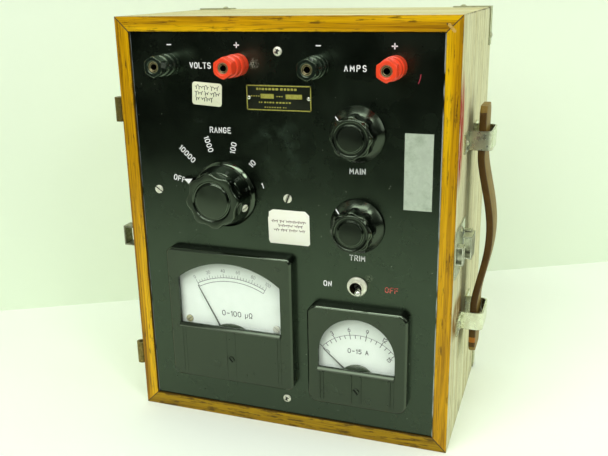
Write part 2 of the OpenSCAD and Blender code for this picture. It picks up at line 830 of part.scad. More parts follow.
module panel_screw() {
    difference() {
        screw_head(panel_head_r, panel_head_h);
        children();
    }
    translate([0, 0, -panel_screw_l]) cylinder(r = panel_screw_r, h = panel_screw_l);
}

module driver_slot(r, w, deg) {
    rotate(deg) translate([-r, -w/2, panel_head_h/2]) cube([2*r, w, panel_head_h]);
}

module panel_screws() {
    color(steel) {
        for (z = panel_screw_z) at_panel(0, z) panel_screw()
            for (a = [0, 90]) driver_slot(panel_head_r*0.55, driver_w, a + 20);
        for (x = deck_screw_x) at_panel(x, range_z) panel_screw()
            driver_slot(panel_head_r + eps, driver_w, x < range_at ? -35 : 68);
    }
}

module nameplate() {
    color(black) at_panel(0, case_h - nameplate_drop)
        linear_extrude(plate_t) square([nameplate_w, nameplate_h], center = true);
}

module asset_tag() {
    color(steel) at_panel(panel_w/2 - tag_x, tag_z)
        linear_extrude(plate_t) square([tag_w, tag_h], center = true);
}

// Binding posts, in the frame of the panel
cap_z = post_base_h + slip;
cap_end = cap_z + cap_l;
flange_h = (cap_l - cap_hex_l - 2*cap_groove_w)/2;

module post_cap(paint) {
    color(paint) translate([0, 0, cap_z]) difference() {
        union() {
            cylinder(r = post_r, h = flange_h);
            cylinder(r = cap_groove_r, h = cap_l - eps);
            translate([0, 0, flange_h + cap_groove_w]) cylinder(r = post_r - 0.4, h = flange_h);
            translate([0, 0, cap_l - cap_hex_l]) cylinder(r = cap_hex_r, h = cap_hex_l, $fn = 6);
        }
        translate([0, 0, -eps]) cylinder(r = insert_r + run, h = cap_l + 2*eps);
    }
}

module post_insert() {
    color(brass) translate([0, 0, cap_z]) ring(insert_r, stud_r + run, cap_l - insert_sunk);
}

module voltage_minus_cap() {
    at_panel(post_x[0], post_z) post_cap(black);
}

module voltage_plus_cap() {
    at_panel(post_x[1], post_z) post_cap(red);
}

module current_minus_cap() {
    at_panel(post_x[2], post_z) post_cap(black);
}

module current_plus_cap() {
    at_panel(post_x[3], post_z) post_cap(red);
}

module voltage_minus_insert() {
    at_panel(post_x[0], post_z) post_insert();
}

module voltage_plus_insert() {
    at_panel(post_x[1], post_z) post_insert();
}

module current_minus_insert() {
    at_panel(post_x[2], post_z) post_insert();
}

module current_plus_insert() {
    at_panel(post_x[3], post_z) post_insert();
}

module post_studs() {
    stud_end = cap_end - stud_sunk;
    color(brass) for (x = post_x) at_panel(x, post_z) difference() {
        translate([0, 0, behind - stud_tail]) cylinder(r = stud_r, h = stud_end - behind + stud_tail);
        translate([0, 0, stud_end - jack_l]) cylinder(r = jack_r, h = jack_l + eps);
    }
}

module post_base(x) {
    at_panel(x, post_z) ring(post_r, stud_r + loose/2, post_base_h);
}

module black_post_bases() {
    color(black) for (i = [0, 2]) post_base(post_x[i]);
}

module red_post_bases() {
    color(red) for (i = [1, 3]) post_base(post_x[i]);
}

can_back = behind - can_d;

module meter_stud_sites() {
    for (s = [-1, 1]) {
        at_panel(-ohm_x + s*meter_stud_x, ohm_z - ohm_can_y) children();
        at_panel(amp_x + s*meter_stud_x, amp_z - amp_can_y) children();
    }
}

module terminal_nuts() {
    color(brass) {
        for (x = post_x, u = [0, nut_t + nut_gap]) at_panel(x, post_z) translate([0, 0, behind - u - nut_t])
            hex_nut(nut_r, stud_r + loose/5, nut_t);
        meter_stud_sites() translate([0, 0, can_back - nut_t]) hex_nut(nut_r, meter_stud_r + loose/5, nut_t);
    }
}

// Fluted grip from z0 to z1
module fluted(r, depth, z0, z1) {
    cut_r = r*0.62;
    difference() {
        translate([0, 0, z0]) cylinder(r = r, h = z1 - z0);
        for (i = [0 : lobes - 1]) rotate(360*(i + 0.5)/lobes) translate([r + cut_r - depth, 0, z0 - eps])
            cylinder(r = cut_r, h = z1 - z0 + 2*eps);
    }
}

// Room under a knob for the bush and its nut, with the shaft's bore above it
module knob_hollow(bore_top) {
    translate([0, 0, -eps]) cylinder(r = bush_nut_r + knob_room, h = bush_nut_t + bush_end + knob_room + eps);
    translate([0, 0, -eps]) cylinder(r = shaft_r + loose/5, h = bore_top + eps);
}

shaft_cover = 5;
range_shaft_top = range_l - shaft_cover;
set_screw_z = range_l/2;
set_screw_out = 0.6;
neck_r = range_r - range_flute/2;
neck_z = range_l - range_lobe_l;
set_screw_end = set_screw_out + range_flange_r
    - (range_flange_r - neck_r)*(set_screw_z - range_flange_t)/(neck_z - range_flange_t);

module range_knob() {
    tip_w = range_flange_r/2.5;
    tip_root = range_flange_r - range_flute;
    flute_deg = 180/lobes;
    color(bakelite) at_panel(range_at, range_z) difference() {
        union() {
            translate([0, 0, knob_lift]) cylinder(r = range_flange_r, h = range_flange_t - knob_lift);
            translate([0, 0, range_flange_t])
                cylinder(r1 = range_flange_r, r2 = neck_r, h = neck_z - range_flange_t);
            rotate(-set_screw_deg - flute_deg) fluted(range_r, range_flute, knob_lift, range_l);
            rotate(180 - range_tip_deg) translate([0, 0, knob_lift]) linear_extrude(0.75*range_flange_t)
                polygon([[0, -tip_w], [tip_root, -tip_w/1.5], [range_tip, -tip_w/20], [range_tip, tip_w/20],
                    [tip_root, tip_w/1.5], [0, tip_w]]);
        }
        translate([0, 0, range_l - range_disc_d]) cylinder(r = range_disc_r, h = range_disc_d + eps);
        knob_hollow(range_shaft_top);
        rotate(-set_screw_deg) translate([0, 0, set_screw_z]) rotate([0, 90, 0])
            cylinder(r = set_screw_r + loose/5, h = range_flange_r + eps);
    }
}

module range_set_screw() {
    color(steel) at_panel(range_at, range_z) rotate(-set_screw_deg)
        translate([0, 0, set_screw_z]) rotate([0, 90, 0]) difference() {
            translate([0, 0, shaft_r + loose]) cylinder(r = set_screw_r, h = set_screw_end - shaft_r - loose);
            rotate(40) translate([-0.5, -set_screw_r - eps, set_screw_end - 1.2])
                cube([1, 2*set_screw_r + 2*eps, 1.2 + eps]);
        }
}

deck_z = behind - deck_gap;
arm_z = deck_z - deck_t - contact_h - slip;
shaft_tail = 3;

module range_shaft() {
    color(steel) at_panel(range_at, range_z) translate([0, 0, arm_z - arm_t - shaft_tail])
        cylinder(r = shaft_r, h = range_shaft_top - loose - arm_z + arm_t + shaft_tail);
}

module bush(x, z) {
    at_panel(x, z) difference() {
        union() {
            translate([0, 0, behind - bush_flange_t]) cylinder(r = bush_flange_r, h = bush_flange_t);
            translate([0, 0, behind - eps]) cylinder(r = bush_r, h = panel_t + bush_nut_t + bush_end + eps);
            cylinder(r = bush_nut_r, h = bush_nut_t, $fn = 6);
        }
        translate([0, 0, behind - bush_flange_t - eps])
            cylinder(r = shaft_r + run, h = panel_t + bush_flange_t + bush_nut_t + bush_end + 2*eps);
    }
}

module shaft_bushes() {
    color(brass) {
        bush(range_at, range_z);
        bush(control_x, coarse_at);
        bush(control_x, fine_at);
    }
}

standoff_r = 2.5*panel_screw_r;
contact_deg = [for (i = [0 : positions - 1]) 180 - range_tip_deg - i*range_step_deg];

module contact_sites() {
    at_panel(range_at, range_z) for (a = contact_deg) rotate(a) translate([contact_ring_r, 0, 0]) children();
}

module range_deck() {
    deck_w = deck_left + deck_right + 4*standoff_r;
    color(phenolic) difference() {
        at_panel(range_at + (deck_right - deck_left)/2, range_z, deck_z - deck_t)
            translate([-deck_w/2, -deck_h/2, 0]) cube([deck_w, deck_h, deck_t]);
        at_panel(range_at, range_z, deck_z - deck_t - eps) cylinder(r = shaft_r + slip, h = deck_t + 2*eps);
        contact_sites() translate([0, 0, deck_z - deck_t - eps])
            cylinder(r = contact_r/2 + loose/5, h = deck_t + 2*eps);
    }
}

module range_arm() {
    color(brass) at_panel(range_at, range_z) difference() {
        rotate(180 - range_tip_deg) translate([0, 0, arm_z - arm_t]) union() {
            cylinder(r = arm_w, h = arm_t);
            translate([0, -arm_w/2, 0]) cube([contact_ring_r + contact_r, arm_w, arm_t]);
        }
        translate([0, 0, arm_z - arm_t - eps]) cylinder(r = shaft_r + loose/5, h = arm_t + 2*eps);
    }
}

// Spools stand clear of the contact arm, two to the left of it and three to the right
spool_from = contact_ring_r + contact_r + spool_r + slip;
spool_x = concat([for (i = [0, 1]) -spool_from - i*spool_pitch],
    [for (i = [0 : 2]) spool_from + i*spool_pitch]);

module range_resistors() {
    color("#8A5A2B") for (x = spool_x) at_panel(range_at + x, range_z, deck_z - deck_t - spool_l)
        ring(spool_r, spool_r/3, spool_l);
}

module deck_hardware() {
    color(brass) {
        for (x = deck_screw_x) at_panel(x, range_z, deck_z) difference() {
            cylinder(r = standoff_r, h = deck_gap, $fn = 6);
            translate([0, 0, deck_gap - panel_screw_l])
                cylinder(r = panel_screw_r + loose/5, h = panel_screw_l + eps);
        }
        contact_sites() {
            translate([0, 0, deck_z - deck_t - contact_h]) cylinder(r = contact_r, h = contact_h);
            translate([0, 0, deck_z - deck_t]) cylinder(r = contact_r/2, h = deck_t + 2*contact_r);
        }
    }
}

// Rheostat knob: tapered skirt and fluted cap with a sloping edge
module skirted_knob() {
    rim = 1.6;
    color(bakelite) difference() {
        union() {
            translate([0, 0, knob_lift]) cylinder(r = skirt_r, h = rim);
            translate([0, 0, knob_lift + rim])
                cylinder(r1 = skirt_r, r2 = grip_r - grip_flute/2, h = skirt_h - knob_lift - rim);
            rotate(180/lobes) fluted(grip_r, grip_flute, knob_lift, grip_l - grip_slope);
            translate([0, 0, grip_l - grip_slope])
                cylinder(r1 = grip_r - grip_flute, r2 = grip_face_r, h = grip_slope);
        }
        translate([0, 0, grip_l - grip_groove]) ring(grip_face_r*0.82, grip_face_r*0.7, grip_groove + eps);
        knob_hollow(grip_l - shaft_cover);
    }
}

winding_z = behind - bush_flange_t - winding_base;
wiper_z = winding_z - winding_d - slip;
wiper_w = 8;

module rheostat() {
    color("#C9C2B0") {
        translate([0, 0, winding_z]) ring(winding_r, shaft_r + slip, winding_base);
        translate([0, 0, winding_z - winding_d]) ring(winding_r, winding_r - winding_w, winding_d);
    }
}

module rheostat_shaft() {
    color(steel) {
        translate([0, 0, wiper_z - wiper_t - shaft_tail])
            cylinder(r = shaft_r, h = grip_l - shaft_cover - loose - wiper_z + wiper_t + shaft_tail);
        translate([0, 0, wiper_z - wiper_t]) rotate(index_deg) translate([0, -wiper_w/2, 0])
            cube([winding_r - winding_w/4, wiper_w, wiper_t]);
    }
}

module coarse_knob() {
    at_panel(control_x, coarse_at) skirted_knob();
}

module coarse_shaft() {
    at_panel(control_x, coarse_at) rheostat_shaft();
}

module coarse_rheostat() {
    at_panel(control_x, coarse_at) rheostat();
}

module fine_knob() {
    at_panel(control_x, fine_at) skirted_knob();
}

module fine_shaft() {
    at_panel(control_x, fine_at) rheostat_shaft();
}

module fine_rheostat() {
    at_panel(control_x, fine_at) rheostat();
}

// Toggle switch
toggle_seat = toggle_ball_r/2;
toggle_tail = 4;
mouth_wall = 1;

module toggle_lever() {
    stem_r = toggle_ball_r*0.6;
    color(steel) at_panel(control_x, toggle_at) rotate([0, toggle_lean, 0]) {
        sphere(toggle_ball_r);
        cylinder(r1 = stem_r, r2 = toggle_tip_r*0.86, h = toggle_l - toggle_tip_r);
        translate([0, 0, toggle_l - toggle_tip_r]) sphere(toggle_tip_r);
        translate([0, 0, behind - toggle_tail]) cylinder(r = stem_r*0.6, h = toggle_tail - behind);
    }
}

module toggle_bush() {
    color(steel) at_panel(control_x, toggle_at) difference() {
        union() {
            cylinder(r = ring_nut_r, h = ring_nut_t);
            translate([0, 0, behind]) cylinder(r = toggle_bush_r, h = panel_t + toggle_bush_l);
        }
        translate([0, 0, behind - eps]) cylinder(r = toggle_ball_r + run, h = panel_t + toggle_seat + 2*eps);
        translate([0, 0, toggle_seat])
            cylinder(r1 = toggle_ball_r + run, r2 = toggle_bush_r - mouth_wall,
                h = toggle_bush_l - toggle_seat + eps/10);
    }
}

module toggle_body() {
    color(phenolic) at_panel(control_x, toggle_at, behind) difference() {
        translate([-toggle_body_w/2, -toggle_body_h/2, -toggle_body_d])
            cube([toggle_body_w, toggle_body_h, toggle_body_d]);
        translate([0, 0, -toggle_tail - toggle_ball_r])
            cylinder(r = 1.5*toggle_ball_r, h = toggle_tail + toggle_ball_r + eps);
    }
}

// Window of the left meter in its cover's frame, grown by g
module ohm_window(g) {
    rise = ohm_crown - ohm_shoulder;
    arc_r = (ohm_win_w*ohm_win_w/4 + rise*rise)/(2*rise);
    intersection() {
        translate([-ohm_win_w/2 - g, -ohm_sill - g]) square([ohm_win_w + 2*g, ohm_sill + ohm_crown + 2*g]);
        translate([0, ohm_crown - arc_r]) circle(arc_r + g, $fn = 96);
    }
}

// Window of the right meter in its cover's frame, grown by g
module amp_window(g) {
    intersection() {
        union() {
            translate([0, amp_win_y]) circle(amp_win_r + g, $fn = 96);
            translate([-amp_win_r - g, -2*amp_win_r]) square([2*(amp_win_r + g), 2*amp_win_r + amp_win_y]);
        }
        translate([-2*amp_win_r, -amp_sill - g]) square([4*amp_win_r, 4*amp_win_r]);
    }
}

// Cover of a meter; the children are its window
module meter_cover(w, h, corner, bar_w, bar_y, zero_y) {
    rib_h = h/2 + bar_y - 2*cover_wall;
    bar_slope = bar_h/4;
    sliver = eps/50;
    color(bakelite) difference() {
        union() {
            linear_extrude(cover_d - cover_bevel) rounded(w, h, corner);
            hull() {
                translate([0, 0, cover_d - cover_bevel - sliver]) linear_extrude(sliver)
                    rounded(w, h, corner, $fn = 32);
                translate([0, 0, cover_d - sliver]) linear_extrude(sliver)
                    rounded(w - 2*cover_bevel, h - 2*cover_bevel, corner - cover_bevel/2, $fn = 32);
            }
            translate([-bar_w/2, bar_y, cover_d]) rotate([90, 0, 90]) linear_extrude(bar_w)
                polygon([[0, -cover_front/2], [0, 0], [bar_slope, bar_out], [bar_h - bar_slope/2, bar_out],
                    [bar_h, bar_out/2], [bar_h, -cover_front/2]]);
            for (x = [-bar_w/2 + rib_w, -rib_pair, rib_pair, bar_w/2 - rib_w])
                translate([x - rib_w/2, -h/2 + cover_wall + cover_bevel, cover_d - rib_out])
                    cube([rib_w, rib_h, 2*rib_out]);
        }
        translate([0, 0, -eps]) linear_extrude(cover_d - cover_front + eps)
            rounded(w - 2*cover_wall, h - 2*cover_wall, max(corner - cover_wall, 1));
        difference() {
            translate([0, 0, cover_d - cover_front - eps])
                linear_extrude(cover_front + bar_out + 2*eps) children();
            translate([-bar_w/2, bar_y - 1, 0]) cube([bar_w, bar_h + 1, cover_d + bar_out + eps]);
        }
        translate([0, -zero_y, cover_d - cover_front - eps])
            cylinder(r = zero_r + run, h = cover_front + 2*eps);
    }
}

ohm_zero_y = ohm_pivot + zero_drop;
amp_zero_y = amp_pivot + zero_drop;
ohm_bar_y = -ohm_sill - bar_h/2;
amp_bar_y = -amp_sill - bar_h/2;

module ohm_cover() {
    at_panel(-ohm_x, ohm_z)
        meter_cover(ohm_w, ohm_h, ohm_corner, ohm_win_w, ohm_bar_y, ohm_zero_y) ohm_window(0);
}

module amp_cover() {
    at_panel(amp_x, amp_z)
        meter_cover(amp_w, amp_h, amp_corner, 2*amp_win_r, amp_bar_y, amp_zero_y) amp_window(0);
}

glass_z = cover_d - cover_front - glass_t;
glass_lap = 2;

module meter_glasses() {
    color([0.9, 0.95, 0.92, 0.3]) {
        at_panel(-ohm_x, ohm_z) translate([0, 0, glass_z]) linear_extrude(glass_t) ohm_window(glass_lap);
        at_panel(amp_x, amp_z) translate([0, 0, glass_z]) linear_extrude(glass_t) amp_window(glass_lap);
    }
}

module meter_dials() {
    color("#E9F2E2") {
        at_panel(-ohm_x, ohm_z) translate([0, 0, can_flange_t]) linear_extrude(dial_t) difference() {
            ohm_window(glass_lap);
            translate([0, -ohm_pivot]) circle(ohm_pivot - ohm_sill + ohm_dial_cut);
        }
        at_panel(amp_x, amp_z) translate([0, 0, can_flange_t]) linear_extrude(dial_t) difference() {
            amp_window(glass_lap);
            translate([0, -amp_pivot]) circle(amp_pivot - amp_sill + amp_dial_cut);
        }
    }
}

// Moving coil with its staff and pointer, pivot at the origin of the panel's frame
pointer_z = can_flange_t + dial_t + pointer_lift;
pointer_t = 0.6;
pointer_tip = 0.5;
tail_l = 9;
magnet_back = can_back + can_wall;
magnet_base = 2;
magnet_front = -16;
bridge_t = 3;

module moving_coil(pointer_l, lean, coil_r) {
    coil_back = magnet_back + magnet_base + 2;
    coil_front = magnet_front - 2;
    coil_wire = 3;
    color("#2A2A26") {
        translate([0, 0, magnet_back + run]) cylinder(r = staff_r, h = pointer_z + pointer_t - magnet_back);
        rotate(90 + lean) translate([0, 0, pointer_z]) linear_extrude(pointer_t)
            polygon([[-tail_l, -staff_r*1.6], [0, -staff_r], [pointer_l, -pointer_tip/2],
                [pointer_l, pointer_tip/2], [0, staff_r], [-tail_l, staff_r*1.6]]);
        translate([0, 0, pointer_z - pointer_t/2]) cylinder(r = 3*staff_r, h = 2*pointer_t);
        rotate(lean) difference() {
            translate([-coil_r, -coil_wire/2, coil_back]) cube([2*coil_r, coil_wire, coil_front - coil_back]);
            translate([-coil_r + coil_wire, -coil_wire, coil_back + coil_wire])
                cube([2*coil_r - 2*coil_wire, 2*coil_wire, coil_front - coil_back - 2*coil_wire]);
        }
    }
}

ohm_pole = 6;
amp_pole = 4;
coil_room = 2;

module ohm_pointer() {
    at_panel(-ohm_x, ohm_z - ohm_pivot)
        moving_coil(ohm_pointer_l, ohm_half_deg, ohm_magnet_r - ohm_pole - coil_room);
}

module amp_pointer() {
    at_panel(amp_x, amp_z - amp_pivot)
        moving_coil(amp_pointer_l, amp_half_deg, amp_magnet_r - amp_pole - coil_room);
}

module magnet(r, pole) {
    translate([0, 0, magnet_back]) difference() {
        union() {
            cylinder(r = r, h = magnet_base);
            ring(r, r - pole, magnet_front - magnet_back);
            translate([-r + pole/2, -bridge_w/2, magnet_front - magnet_back])
                cube([2*r - pole, bridge_w, bridge_t]);
        }
        translate([0, 0, -eps])
            cylinder(r = staff_r + run, h = magnet_front - magnet_back + bridge_t + 2*eps);
    }
}

module meter_magnets() {
    color("#4A4C4A") {
        at_panel(-ohm_x, ohm_z - ohm_pivot) magnet(ohm_magnet_r, ohm_pole);
        at_panel(amp_x, amp_z - amp_pivot) magnet(amp_magnet_r, amp_pole);
    }
}

module zero_adjuster() {
    shank_r = zero_r*0.6;
    color(bakelite) difference() {
        union() {
            translate([0, 0, cover_d - cover_front - 0.8]) cylinder(r = shank_r, h = 0.9);
            translate([0, 0, cover_d - cover_front]) cylinder(r = zero_r, h = cover_front + 0.3);
            translate([shank_r/2, 0, cover_d - cover_front - 1.6]) cylinder(r = 0.5, h = 1);
        }
        rotate(-50) translate([-zero_r - eps, -0.5, cover_d - 0.8]) cube([2*zero_r + 2*eps, 1, 1.2 + eps]);
    }
}

module ohm_zero() {
    at_panel(-ohm_x, ohm_z - ohm_zero_y) zero_adjuster();
}

module amp_zero() {
    at_panel(amp_x, amp_z - amp_zero_y) zero_adjuster();
}

module meter_can(w, h, corner, r, drop) {
    room = 2*(cover_wall + slip);
    color(bakelite) {
        linear_extrude(can_flange_t) difference() {
            rounded(w - room, h - room, max(corner - cover_wall, 1));
            translate([0, -drop]) circle(r - can_wall);
        }
        translate([0, -drop, can_back]) difference() {
            cylinder(r = r, h = -can_back + can_flange_t);
            translate([0, 0, can_wall]) cylinder(r = r - can_wall, h = -can_back + can_flange_t);
        }
    }
    color(brass) for (s = [-1, 1]) translate([s*meter_stud_x, -drop, can_back - meter_stud_l])
        cylinder(r = meter_stud_r, h = meter_stud_l + can_wall/2);
}

module meter_cans() {
    at_panel(-ohm_x, ohm_z) meter_can(ohm_w, ohm_h, ohm_corner, ohm_can_r, ohm_can_y);
    at_panel(amp_x, amp_z) meter_can(amp_w, amp_h, amp_corner, amp_can_r, amp_can_y);
}

// Dry cells on the floor of the case, held to the back by a band
cell_y = back_y - back_t - clamp_t - slip - cell_r;
cell_post_r = 4;
cell_rim = cell_r*0.7;

module dry_cells() {
    color("#7A2F22") for (s = [-1, 1]) translate([s*cell_x, cell_y, board_t]) {
        cylinder(r = cell_r, h = cell_h);
        translate([0, 0, cell_h]) cylinder(r = cell_post_r, h = cell_post_h);
        translate([0, -cell_rim, cell_h]) cylinder(r = cell_post_r, h = cell_post_h);
    }
}

module stadium(r) {
    square([2*cell_x, 2*r], center = true);
    for (s = [-1, 1]) translate([s*cell_x, 0]) circle(r);
}

module cell_clamp() {
    color(steel) translate([0, cell_y, board_t + clamp_z]) linear_extrude(clamp_h) difference() {
        stadium(cell_r + slip + clamp_t);
        stadium(cell_r + slip);
    }
}

// Leads, each a path of points in the frame of the panel, in a depth of its own behind the controls
lead_step = 4*lead_r;
bend_swell = 1.2;
lead_depth = deck_z - deck_t - spool_l - lead_step;
post_tail = behind - stud_tail;
meter_tail = can_back - meter_stud_l;
cell_top = board_t + cell_h + cell_post_h;
cell_depth = panel_y - cell_y;
toggle_back = behind - toggle_body_d;
fine_under = fine_at - winding_r - slip;
winding_mid = winding_z - winding_d/2;
toggle_lead_z = cell_top + 2*lead_step;
toggle_lead_out = lead_depth - 4*lead_step;
fine_lead_x = control_x - 2*lead_step;
fine_lead_z = cell_top + 3*lead_step;

// Path from a post to a meter's stud
function meter_lead(i, x, z) =
    let (d = lead_depth - i*lead_step)
    [[post_x[i], post_z, post_tail], [post_x[i], post_z, d], [post_x[i], z, d], [x, z, d],
        [x, z, meter_tail]];

leads = [
    meter_lead(0, -ohm_x - meter_stud_x, ohm_z - ohm_can_y),
    meter_lead(1, -ohm_x + meter_stud_x, ohm_z - ohm_can_y),
    meter_lead(2, amp_x - meter_stud_x, amp_z - amp_can_y),
    meter_lead(3, amp_x + meter_stud_x, amp_z - amp_can_y),
    // Between the two cells
    [[-cell_x, cell_top, cell_depth], [-cell_x, cell_top + lead_step, cell_depth],
        [cell_x, cell_top + lead_step, cell_depth + cell_rim], [cell_x, cell_top, cell_depth + cell_rim]],
    // From a cell to the toggle switch
    [[cell_x, cell_top, cell_depth], [cell_x, toggle_lead_z, cell_depth],
        [control_x, toggle_lead_z, cell_depth], [control_x, toggle_lead_z, toggle_lead_out],
        [control_x, toggle_at, toggle_lead_out], [control_x, toggle_at, toggle_back]],
    // From the other cell to the fine rheostat
    [[-cell_x, cell_top, cell_depth + cell_rim], [-cell_x, fine_lead_z, cell_depth + cell_rim],
        [fine_lead_x, fine_lead_z, cell_depth + cell_rim],
        [fine_lead_x, fine_under - lead_step, cell_depth + cell_rim],
        [fine_lead_x, fine_under - lead_step, winding_mid],
        [control_x, fine_under - lead_step, winding_mid], [control_x, fine_under, winding_mid]],
];

module rod(a, b) {
    d = b - a;
    l = norm(d);
    translate(a) rotate([0, acos(d[2]/l), atan2(d[1], d[0])]) cylinder(r = lead_r, h = l);
}

module wiring() {
    color("#2B3A2B") at_panel(0, 0) for (p = leads) {
        for (k = [0 : len(p) - 2]) rod(p[k], p[k + 1]);
        for (k = [1 : len(p) - 2]) translate(p[k]) sphere(lead_r*bend_swell);
    }
}

case_top();
case_bottom();
case_left();
case_right();
case_back();
panel_cleats();
corner_straps();
case_screws();
hinge_halves();
stay_loop();
handle_strap();
handle_loops();
latch_plate();
latch_flap();
front_panel();
panel_screws();
nameplate();
asset_tag();
voltage_minus_cap();
voltage_plus_cap();
current_minus_cap();
current_plus_cap();
voltage_minus_insert();
voltage_plus_insert();
current_minus_insert();
current_plus_insert();
post_studs();
black_post_bases();
red_post_bases();
terminal_nuts();
range_knob();
range_set_screw();
range_shaft();
shaft_bushes();
range_deck();
range_arm();
range_resistors();
deck_hardware();
coarse_knob();
coarse_shaft();
coarse_rheostat();
fine_knob();
fine_shaft();
fine_rheostat();
toggle_lever();
toggle_bush();
toggle_body();
ohm_cover();
amp_cover();
meter_glasses();
meter_dials();
ohm_pointer();
amp_pointer();
ohm_zero();
amp_zero();
meter_cans();
meter_magnets();
dry_cells();
cell_clamp();
wiring();
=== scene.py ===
"""Looks of a portable microhm meter in a varnished oak case.

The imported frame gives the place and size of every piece. This script dresses the pieces with their
finishes and adds the rounded shells, lettering, scales, labels and trim. Lengths are in millimetres
and become metres where a mesh, a light or the camera is made.
"""

import logging
import math
from dataclasses import dataclass, field
from enum import Enum
from typing import Callable, Sequence, Union

import bpy
from mathutils import Matrix, Vector


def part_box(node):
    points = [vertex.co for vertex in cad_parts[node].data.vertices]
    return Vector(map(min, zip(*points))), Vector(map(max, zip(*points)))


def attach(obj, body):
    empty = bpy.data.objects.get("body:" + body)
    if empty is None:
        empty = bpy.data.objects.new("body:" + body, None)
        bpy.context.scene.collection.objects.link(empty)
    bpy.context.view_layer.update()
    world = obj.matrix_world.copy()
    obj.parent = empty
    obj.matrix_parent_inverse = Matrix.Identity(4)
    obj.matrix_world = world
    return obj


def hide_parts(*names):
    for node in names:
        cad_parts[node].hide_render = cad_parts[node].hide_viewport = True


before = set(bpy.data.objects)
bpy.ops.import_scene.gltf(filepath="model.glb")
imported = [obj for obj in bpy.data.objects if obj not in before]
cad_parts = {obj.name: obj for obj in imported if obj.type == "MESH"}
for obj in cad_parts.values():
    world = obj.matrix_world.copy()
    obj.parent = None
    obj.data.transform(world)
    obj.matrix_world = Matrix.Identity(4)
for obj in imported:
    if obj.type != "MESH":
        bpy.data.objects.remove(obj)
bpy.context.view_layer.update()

LOG = logging.getLogger("microhm_meter")
MM = 0.001
CASE = "case"
# Drawn lines reach a little into the surface they are drawn on
SINK = 0.02
LETTER_RISE = 0.05
SCALE_RISE = 0.03

Node = bpy.types.Node
Socket = bpy.types.NodeSocket
Point = tuple[float, float]
Place = tuple[float, float, float]
Outline = list[Point]
Level = tuple[Outline, float]
Colour = tuple[float, float, float, float]
Setting = Union[float, str, Sequence[float], Socket, Node]


def linear(code: str) -> Colour:
    """Turn an sRGB hex colour into a linear one.

    Args:
        code: Six hex digits after a hash sign.

    Returns:
        Linear red, green, blue and an alpha of 1.
    """
    parts = [int(code[i:i + 2], 16) / 255 for i in (1, 3, 5)]
    return tuple(c / 12.92 if c <= 0.04045 else ((c + 0.055) / 1.055) ** 2.4 for c in parts) + (1.0,)


def per(size: float) -> float:
    """Scale of a pattern whose features are this many millimetres across."""
    return 1.0 / (size * MM)


@dataclass
class Palette:
    """Nodes of one shader tree, with a call for each of the usual patterns."""

    tree: bpy.types.NodeTree
    place: Socket = field(init=False)

    def __post_init__(self) -> None:
        """Empty the tree, and ask for the place on the object, in metres."""
        self.tree.nodes.clear()
        self.place = self.add("TexCoord").outputs["Object"]

    def add(self, kind: str, inputs: dict[Union[str, int], Setting] | None = None,
            **settings: object) -> Node:
        """Add a shader node with its settings and links.

        Args:
            kind: The node's type without its ShaderNode prefix.
            inputs: For each input, by name or number, a value, a hex colour, a socket or a node.
            settings: Attributes of the node.

        Returns:
            The new node.
        """
        node = self.tree.nodes.new("ShaderNode" + kind)
        for name, value in settings.items():
            setattr(node, name, value)
        for key, value in (inputs or {}).items():
            if isinstance(value, Node):
                value = next(o for o in value.outputs if o.enabled)
            if isinstance(value, Socket):
                self.tree.links.new(value, node.inputs[key])
            else:
                node.inputs[key].default_value = linear(value) if isinstance(value, str) else value
        return node

    def noise(self, size: float, detail: float = 2.0, rough: float = 0.5, at: Setting | None = None,
              distortion: float = 0.0) -> Node:
        """Clouds some millimetres across, at the place on the object or at another one."""
        return self.add("TexNoise", {
            "Vector": self.place if at is None else at, "Scale": per(size), "Detail": detail,
            "Roughness": rough, "Distortion": distortion})

    def cells(self, size: float) -> Node:
        """Distance from the middle of cells some millimetres across."""
        return self.add("TexVoronoi", {"Vector": self.place, "Scale": per(size)})

    def band(self, value: Setting, low: float = 0.0, high: float = 1.0, first: float = 0.0,
             last: Setting = 1.0) -> Node:
        """Stretch a value so that from one limit to the other it runs from a first share to a last one."""
        return self.add("MapRange", {
            "Value": value, "From Min": low, "From Max": high, "To Min": first, "To Max": last})

    def ramp(self, value: Setting, *stops: tuple[float, str]) -> Node:
        """Colours along a value, as places and hex colours."""
        node = self.add("ValToRGB", {"Fac": value})
        elements = node.color_ramp.elements
        while len(elements) < len(stops):
            elements.new(0.5)
        for element, (position, code) in zip(elements, stops):
            element.position, element.color = position, linear(code)
        return node

    def mix(self, share: Setting, first: Setting, second: Setting) -> Node:
        """Two colours mixed by the share of the second."""
        return self.add("Mix", {0: share, 6: first, 7: second}, data_type="RGBA")

    def maths(self, operation: str, first: Setting, second: Setting, **settings: object) -> Node:
        """Sum of a kind with two values."""
        return self.add("Math", {0: first, 1: second}, operation=operation, **settings)

    def measure(self, operation: str, *places: Setting) -> Socket:
        """Length, distance or dot product of places or directions."""
        return self.add("VectorMath", dict(enumerate(places)), operation=operation).outputs["Value"]

    def normal(self) -> Socket:
        """Direction of the face itself."""
        return self.add("NewGeometry").outputs["Normal"]

    def edges(self, radius: float, flat: float, sharp: float, share: float = 1.0) -> list[Node]:
        """Direction that is rounded at the edges, and the share of edge in each place.

        Args:
            radius: Radius of the edges in millimetres.
            flat: Cosine of the rounding where the edge begins.
            sharp: Cosine of the rounding where it is full.
            share: Share of edge where it is full.

        Returns:
            The node with the direction and the node with the share.
        """
        smooth = self.add("Bevel", {"Radius": radius * MM}, samples=4)
        turned = self.measure("DOT_PRODUCT", smooth, self.normal())
        return [smooth, self.band(turned, flat, sharp, 0.0, share)]

    def bump(self, height: Setting, strength: float, depth: float, **inputs: Setting) -> Node:
        """Relief of a height, some millimetres deep."""
        return self.add("Bump", {"Strength": strength, "Distance": depth * MM, "Height": height, **inputs})


class Grain(Enum):
    """How much a wood pattern is drawn out along each axis of a board."""

    ACROSS = (0.025, 1.0, 1.0)
    UPRIGHT = (1.0, 1.0, 0.025)


